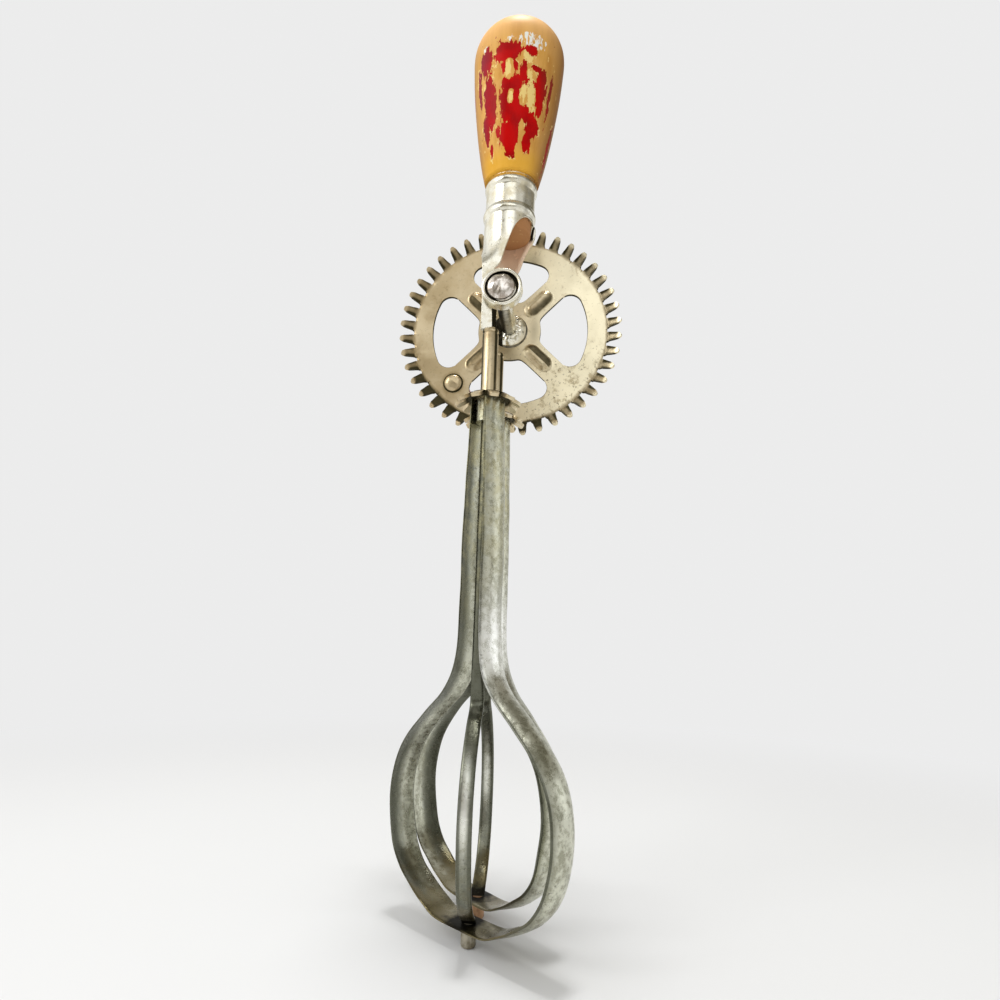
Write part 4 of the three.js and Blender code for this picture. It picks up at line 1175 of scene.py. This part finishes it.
def leg_edge(shares, at_bottom, at_top):
    """A leg's edge as a smooth line of (x, z) from the post to the band, with its points evenly spaced."""
    corners = [
        (at_bottom + (at_top - at_bottom) * s, POST_TOP + (BAND_BOTTOM - POST_TOP) * h) for h, s in shares
    ]
    line = smooth_path(corners, 12)
    length = lengths(line)
    even = np.linspace(0, length[-1], LEG_ROWS)
    return np.stack([np.interp(even, length, line[:, k]) for k in (0, 1)], axis=1)


def leg_wall(shares, at_bottom, way):
    """One leg: rows run from its left to its right edge round the tube's wall, and flatten into a strip.

    way is -1 for the front wall and 1 for the rear wall. A point's depth goes from the round wall to the
    plane of its dasher's axis as its height falls through the flattening length.
    """
    left = leg_edge(LEFT_SHARES, LEG_LEFT, HANDLE_X - TUBE_RADIUS - LEFT_OVERRUN)
    left[:, 1] = np.linspace(POST_TOP, BAND_BOTTOM, LEG_ROWS)
    right = leg_edge(shares, at_bottom, HANDLE_X + TUBE_RADIUS)
    share = np.linspace(0, 1, LEG_COLUMNS)[None, :]
    turns = [np.arccos(np.clip((edge[:, :1] - HANDLE_X) / TUBE_RADIUS, -1, 1)) for edge in (left, right)]
    turn = turns[0] + (turns[1] - turns[0]) * share
    z = left[:, 1:] + (right[:, 1:] - left[:, 1:]) * share
    wall = HANDLE_Y + way * TUBE_RADIUS * np.sin(turn)
    strip = 0 if way < 0 else SPACING
    flat = 1 - smooth_step(z, FLAT_BOTTOM, FLAT_TOP)
    return surface(HANDLE_X + TUBE_RADIUS * np.cos(turn), wall + (strip - wall) * flat, z)


def beaded_band(front, rear):
    """The ring above the legs: its columns meet theirs, and its two beads are softened cosines."""
    turn_front, turn_rear = (turn_of(wall[-1], HANDLE_X, HANDLE_Y) for wall in (front, rear))
    turn_front = np.where(turn_front > 0.01, turn_front - 2 * np.pi, turn_front)
    between = np.linspace(turn_front[-1], turn_rear[-1], 14)[1:-1]
    turn = np.concatenate([turn_front, between, turn_rear[::-1][:-1]])
    height = np.linspace(BAND_BOTTOM, HANDLE_BOTTOM, 61)[:, None]
    radius = TUBE_RADIUS
    for drop in BEAD_DROPS:
        off = np.clip((height - HANDLE_BOTTOM + drop) / BEAD_HALF_WIDTH, -1, 1)
        radius = radius + BEAD_HEIGHT * np.cos(np.pi / 2 * off) ** 1.4
    return surface(HANDLE_X + radius * np.cos(turn), HANDLE_Y + radius * np.sin(turn), height)


def make_frame():
    """The stamped ferrule: a beaded ring above, whose front and rear walls run down as two flat legs.

    Its right front carries painted shade, as a flat-topped bell round it, and the rear leg's lower part is
    painted dark as a shadow.
    """
    front = leg_wall(FRONT_SHARES, FRONT_LEG_RIGHT, -1)
    rear = leg_wall(REAR_SHARES, REAR_LEG_RIGHT, 1)
    band = beaded_band(front, rear)
    dull, painted_shadow = [], []
    for grid, is_rear in ((band, 0), (front, 0), (rear, 1)):
        height = grid[..., 2]
        # Painted shade on the right front, and a painted shadow on the rear leg's lower part
        on_right = bump(turn_of(grid, HANDLE_X, HANDLE_Y), -0.62, 0.42, 4)
        dull.append(0.42 * on_right * smooth_step(height, FLAT_TOP, FLAT_TOP + 4))
        painted_shadow.append(is_rear * (1 - smooth_step(height, FLAT_BOTTOM - 5, FLAT_BOTTOM)))
    grids = [(lean(band), True), (lean(front), False), (lean(rear), False)]
    numbers = {"grime_and_shade": joined(dull), "painted_shadow": joined(painted_shadow)}
    piece = make_piece(
        "stamped_ferrule", grids, "frame", "nickel", ["ferrule_frame"], numbers, sharp=50, caps=False,
    )
    return thicken(piece, WALL, WALL_EDGE)


def make_lip():
    """The curled edge of the cut-away: a thin round bead carried up the rear wall's right edge.

    It tapers at both ends, and its left and front sides are painted black as shade.
    """
    edge = leg_wall(REAR_SHARES, REAR_LEG_RIGHT, 1)[:, -1]
    edge = edge[edge[:, 2] > FLAT_TOP - LIP_DROP] + (LIP_SHIFT, 0, 0)
    along = slopes(edge)
    aside = np.cross(along, (0, 1, 0))
    aside /= np.linalg.norm(aside, axis=1)[:, None]
    turn = np.linspace(0, 2 * np.pi, 12, endpoint=False)[:, None]
    ring = aside[:, None, :] * np.cos(turn) + np.cross(along, aside)[:, None, :] * np.sin(turn)
    share = np.linspace(0, 1, len(edge))[:, None, None]
    radius = LIP_RADIUS * np.sqrt(np.clip(1 - np.abs(2 * share - 1) ** 8, 0, 1))
    # Painted shade on the lip's left and front sides
    grime_and_shade = 1.3 * smooth_step(-ring[..., 0], -0.4, 0) * smooth_step(-ring[..., 1], -0.7, -0.2)
    grids = [(lean(edge[:, None, :] + radius * ring), True)]
    return make_piece("curled_lip", grids, "frame", "nickel", numbers={"grime_and_shade": grime_and_shade}, sharp=60)


def make_ear():
    """The cup on the front leg that holds the axle's head: turned, with a rounded rim and an inside black
    with dirt and painted shade.
    """
    rim = EAR_FLOOR - EAR_RIM
    back = EAR_FLOOR + EAR_THICKNESS
    edge = (EAR_RADIUS - EAR_RECESS) / 2
    turn = np.linspace(0, np.pi, 9)
    lip = np.stack([EAR_RADIUS - edge + edge * np.cos(turn), rim + edge - edge * np.sin(turn)], axis=1)
    outside = [(AXLE_RADIUS, back), (EAR_RECESS, back), (EAR_RECESS, EAR_BACK), (EAR_RADIUS, EAR_BACK), *lip]
    inside = [(EAR_RECESS, rim + EAR_BEVEL), (EAR_RECESS, EAR_FLOOR), (AXLE_RADIUS, EAR_FLOOR)]
    points = lathe([*outside, *inside, outside[0]])
    # Dirt all over, and painted shade that blackens the recess
    grime_and_shade = np.full(points.shape[:2], 0.26)
    grime_and_shade[len(outside):-1] = 1.2
    grids = [(along_y(points, AXLE_X, 0, AXLE_Z), True)]
    return make_piece("ear_cup", grids, "frame", "nickel", numbers={"grime_and_shade": grime_and_shade}, caps=False)


def make_axle():
    """The stud: a hammered domed head in the cup, a thick shaft and a thin riveted shank behind.

    The shaft is dirty, with painted shade on its left and a painted highlight along its right side. The head
    is worn through.
    """
    shaft_end = WHEEL_Y - SHEET / 2 - BUSH_HEIGHT - END_PLAY
    shank_end = WHEEL_Y + SHEET / 2 + BUSH_LIP + END_PLAY + WASHER + SEAT_GAP
    points = lathe(np.vstack([
        dome(AXLE_HEAD_RADIUS, AXLE_HEAD_HEIGHT, EAR_FLOOR, -1, 1.04, 16),
        (AXLE_RADIUS, EAR_FLOOR), (AXLE_RADIUS, shaft_end),
        (SHANK_RADIUS, shaft_end), (SHANK_RADIUS, shank_end),
        dome(AXLE_TAIL_RADIUS, AXLE_TAIL_HEIGHT, shank_end, 1)[::-1],
    ]), 48)
    dents = AXLE_HEAD_DENTS * ripple(points[..., 0] / 1.1, points[..., 1] / 1.1, seed=8)
    points[..., 2] += dents * (points[..., 2] < EAR_FLOOR - 0.3)
    is_head = points[..., 2] < EAR_FLOOR - 0.1
    # Painted shade on the shaft's left and painted light along its right
    left = -points[..., 0] / AXLE_RADIUS
    shaft_dirt_and_shade = 0.52 + 0.3 * smooth_step(left, 0, 0.7) - 0.42 * smooth_step(-left, 0.45, 0.85)
    numbers = {"grime_and_shade": np.where(is_head, 0.15, shaft_dirt_and_shade), "worn": is_head}
    placed = along_y(points, AXLE_X, 0, AXLE_Z)
    placed[is_head] += AXLE_HEAD_SHIFT
    return make_piece("axle_pin", [(placed, True)], "frame", "nickel", ["axle_stud"], numbers)


def make_bush():
    """The boss at the wheel's middle: a turned ring whose front is worn into steps and scratched.

    Two ripples move its front, one slow round the axis and one fine, and the fine one's hollows hold dirt.
    Its left side carries painted shade.
    """
    front, back = -SHEET / 2, SHEET / 2
    worn_front = [(radius, front - BUSH_HEIGHT + drop) for radius, drop in BUSH_FRONT]
    points = lathe([
        *worn_front, (BUSH_RADIUS + 0.1, front - 0.3), (BUSH_RADIUS + BUSH_FLARE, front), (BUSH_NECK, front),
        (BUSH_NECK, back), (BUSH_LIP_RADIUS, back), (BUSH_LIP_RADIUS, back + BUSH_LIP),
        (BUSH_BORE, back + BUSH_LIP), worn_front[0],
    ], 72)
    turn = turn_of(points)
    worn = BUSH_WEAR * ripple(3 * np.cos(turn), 3 * np.sin(turn), points[..., 2], seed=4)
    points[..., :2] *= (1 + worn * 0.12 * (points[..., 2] < front))[..., None]
    radius = away_from_axis(points)
    scratched = BUSH_SCRATCHES * ripple(9 * np.cos(turn), 9 * np.sin(turn), radius * 3, seed=14)
    at_foot = 0.6 * (points[..., 2] > front - 0.9)
    # Painted shade on the boss's left side
    shaded_left = 1.6 * smooth_step(-points[..., 0], 1.4, 3.2)
    grime_and_shade = np.max([at_foot, shaded_left, 0.7 * smooth_step(-scratched, 0.05, 0.2)], axis=0)
    free = (points[..., 2] < front - 0.2) & (radius > BUSH_BORE + 0.22)
    points[..., 2] += (worn + scratched) * free
    grids = [(along_y(points, AXLE_X, WHEEL_Y, AXLE_Z), True)]
    return make_piece(
        "worn_boss", grids, "wheel", "wheel_nickel", ["wheel_bush"], {"grime_and_shade": grime_and_shade}, sharp=30, caps=False,
        finish="nickel",
    )


def make_crank_rivet():
    """The rivet that carries the knob: a low dented head over a dirty skirt, a collar, a pin and its tail."""
    front, back = -SHEET / 2, SHEET / 2
    collar_back = back + CRANK_COLLAR_HEIGHT
    pin_end = collar_back + END_PLAY + KNOB_LENGTH - KNOB_RECESS + END_PLAY + WASHER + SEAT_GAP
    points = lathe(np.vstack([
        dome(CRANK_HEAD_RADIUS, CRANK_HEAD_HEIGHT, front, -1, 1.03),
        [(CRANK_HEAD_RADIUS + out, front - rise) for out, rise in CRANK_SKIRT],
        (CRANK_PIN_RADIUS, front), (CRANK_PIN_RADIUS, back), (CRANK_COLLAR_RADIUS, back),
        (CRANK_COLLAR_RADIUS, collar_back), (CRANK_PIN_RADIUS, collar_back), (CRANK_PIN_RADIUS, pin_end),
        dome(CRANK_TAIL_RADIUS, CRANK_TAIL_HEIGHT, pin_end, 1)[::-1],
    ]), 40)
    dents = CRANK_HEAD_DENTS * ripple(points[..., 0], points[..., 1], seed=6)
    points[..., 2] += dents * (points[..., 2] < front - 0.2)
    grime_and_shade = (away_from_axis(points) > CRANK_HEAD_RADIUS - 0.01) & (points[..., 2] < front + 0.1)
    x, z = AXLE_X + CRANK_RADIUS * math.cos(CRANK_ANGLE), AXLE_Z + CRANK_RADIUS * math.sin(CRANK_ANGLE)
    grids = [(along_y(points, x, WHEEL_Y, z), True)]
    return make_piece(
        "crank_rivet", grids, "wheel", "wheel_nickel", ["crank_stud"], {"grime_and_shade": grime_and_shade}, sharp=35,
    )


def make_post(side, y):
    """The rolled sleeve under a leg: a turned tube with a rough crimp where the leg goes in.

    It is darker along two lines down its front, in faint lines round it and on the crimp.
    """
    bottom = PINION_TOP + END_PLAY
    bore = ROD_RADIUS + SLIP_FIT
    points = lathe([
        (bore, bottom), (POST_RADIUS - POST_EDGE, bottom), (POST_RADIUS, bottom + POST_EDGE),
        *((POST_RADIUS + shift, POST_TOP - below) for shift, below in POST_CRIMP),
        (bore, POST_TOP), (bore, bottom),
    ], 40)
    turn = turn_of(points)
    rough = POST_CRIMP_ROUGH * ripple(2 * np.cos(turn), 2 * np.sin(turn), points[..., 2] / 2, seed=11)
    points[..., 2] += rough * (points[..., 2] > POST_TOP - 2) * (away_from_axis(points) > POST_RADIUS - 0.3)
    # Darker along two lines down the front, in faint stripes round it and on the crimp
    seam = smooth_step(np.cos(turn + 0.62), 0.955, 0.985) + smooth_step(np.cos(turn + 2.75), 0.9, 0.97)
    dull = 0.02 + 0.6 * seam + 0.06 * np.sin(7 * turn) + 0.2 * (points[..., 2] > POST_TOP - 2.2)
    points[..., 1] += y
    return make_piece(
        f"{side}_sleeve", [(points, True)], "frame", "nickel", [f"{side}_post"], {"grime_and_shade": dull}, caps=False,
        finish="wheel_nickel",
    )


def dress(node, slot):
    """Gives a CAD node that keeps its shape one of the finishes."""
    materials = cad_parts[node].data.materials
    materials.clear()
    materials.append(FINISHES[slot])


def make_all():
    """Every piece of the beater."""
    make_handle()
    make_frame()
    make_lip()
    make_ear()
    make_axle()
    make_wheel()
    make_bush()
    make_crank_rivet()
    for side, y, way, turn, phase, seed in (
        ("front", 0, -1, FRONT_TURN, 0, 21),
        ("rear", SPACING, 1, REAR_TURN, 0.5, 22),
    ):
        make_post(side, y)
        make_arm(side, y, way)
        make_pinion(side, y, phase)
        make_blade(side, y, way, turn, seed)
        dress(f"{side}_pinion_hub", "tinned_steel")
    dress("front_foot", "dull_pin")
    dress("rear_foot", "copper")
    dress("axle_washer", "nickel")
    dress("knob_washer", "nickel")
    dress("crank_knob", "red_wood")


make_all()

# Where the room is pale: a direction, the cosines from it where the patch starts and is full, and its level
PALE_PATCHES = [
    ((0, 1, 0.1), 0.2, 0.6, 0.95), ((1, 0.13, 0.25), 0.93, 0.98, 1.8),
    ((0.16, -0.86, 0.48), 0.92, 0.975, 1.95), ((-0.15, -0.68, 0.72), 0.965, 0.99, 1.6),
    ((-1, -0.1, 0.35), 0.55, 0.85, 1.4), ((0, 0, 1), 0.62, 0.9, 0.3), ((0.75, -0.6, 0.3), 0.84, 0.94, 0.75),
]

# A patch that dims what lies in it, from all to a share of its light
DIM_PATCH = ((0.6, 0.4, 0.7), 0.89, 0.95, 0.05, 1)

# Lamps: name, place, target, side and power
LAMPS = [
    ("left", (-500, -450, 550), (0, 0, 140), 350, 1.6),
    ("overhead", (10, 0, 900), (10, 10, 0), 140, 3.3),
]


def add_lamp(name, place, target, size, power):
    """A square soft lamp that faces its target."""
    data = bpy.data.lights.new(name, "AREA")
    data.shape = "SQUARE"
    data.size = size * MM
    data.energy = power
    lamp = bpy.data.objects.new(name, data)
    bpy.context.scene.collection.objects.link(lamp)
    facing = (Vector(target) - Vector(place)).to_track_quat("-Z", "Y").to_matrix().to_4x4()
    lamp.matrix_world = Matrix.Translation(Vector(place) * MM) @ facing


def light_room():
    """A dim warm room with pale patches for light and reflections, and a plain backdrop for the camera."""
    world = bpy.data.worlds.new("room")
    bpy.context.scene.world = world
    world.use_nodes = True
    room = Nodes(world.node_tree, "Generated")

    def patch(toward, start, full, level, outside=0):
        """A level round a direction, which fades to another outside."""
        return room.fade(room.dot(room.place, Vector(toward).normalized()), start, full, outside, level)

    pale = patch(*PALE_PATCHES[0])
    for row in PALE_PATCHES[1:]:
        pale = room.most(pale, patch(*row))
    pale = room.times(pale, patch(*DIM_PATCH))
    light = world.node_tree.nodes["Background"]
    room.feed(light.inputs["Color"], room.blend(pale, ROOM_DIM, ROOM_PALE, beyond=True))
    plain = room.add("ShaderNodeBackground")
    room.feed(plain.inputs["Color"], BACKDROP)
    seen = room.seen_by("Is Camera Ray")
    room.give_out("World Output", seen, light.outputs["Background"], plain.outputs["Background"])
    for lamp in LAMPS:
        add_lamp(*lamp)


def lay_floor():
    """A pale flat floor under both feet, wide enough to reach the horizon."""
    place = np.linspace(-FLOOR_REACH, FLOOR_REACH, FLOOR_POINTS)
    points = surface(place[None, :], place[:, None], 0)
    faces = grid_faces(FLOOR_POINTS, FLOOR_POINTS, False)
    mesh = bpy.data.meshes.new("floor")
    mesh.from_pydata((points.reshape(-1, 3) * MM).tolist(), [], faces.tolist())
    mesh.materials.append(pale_floor())
    floor = bpy.data.objects.new("floor", mesh)
    bpy.context.scene.collection.objects.link(floor)


light_room()
lay_floor()
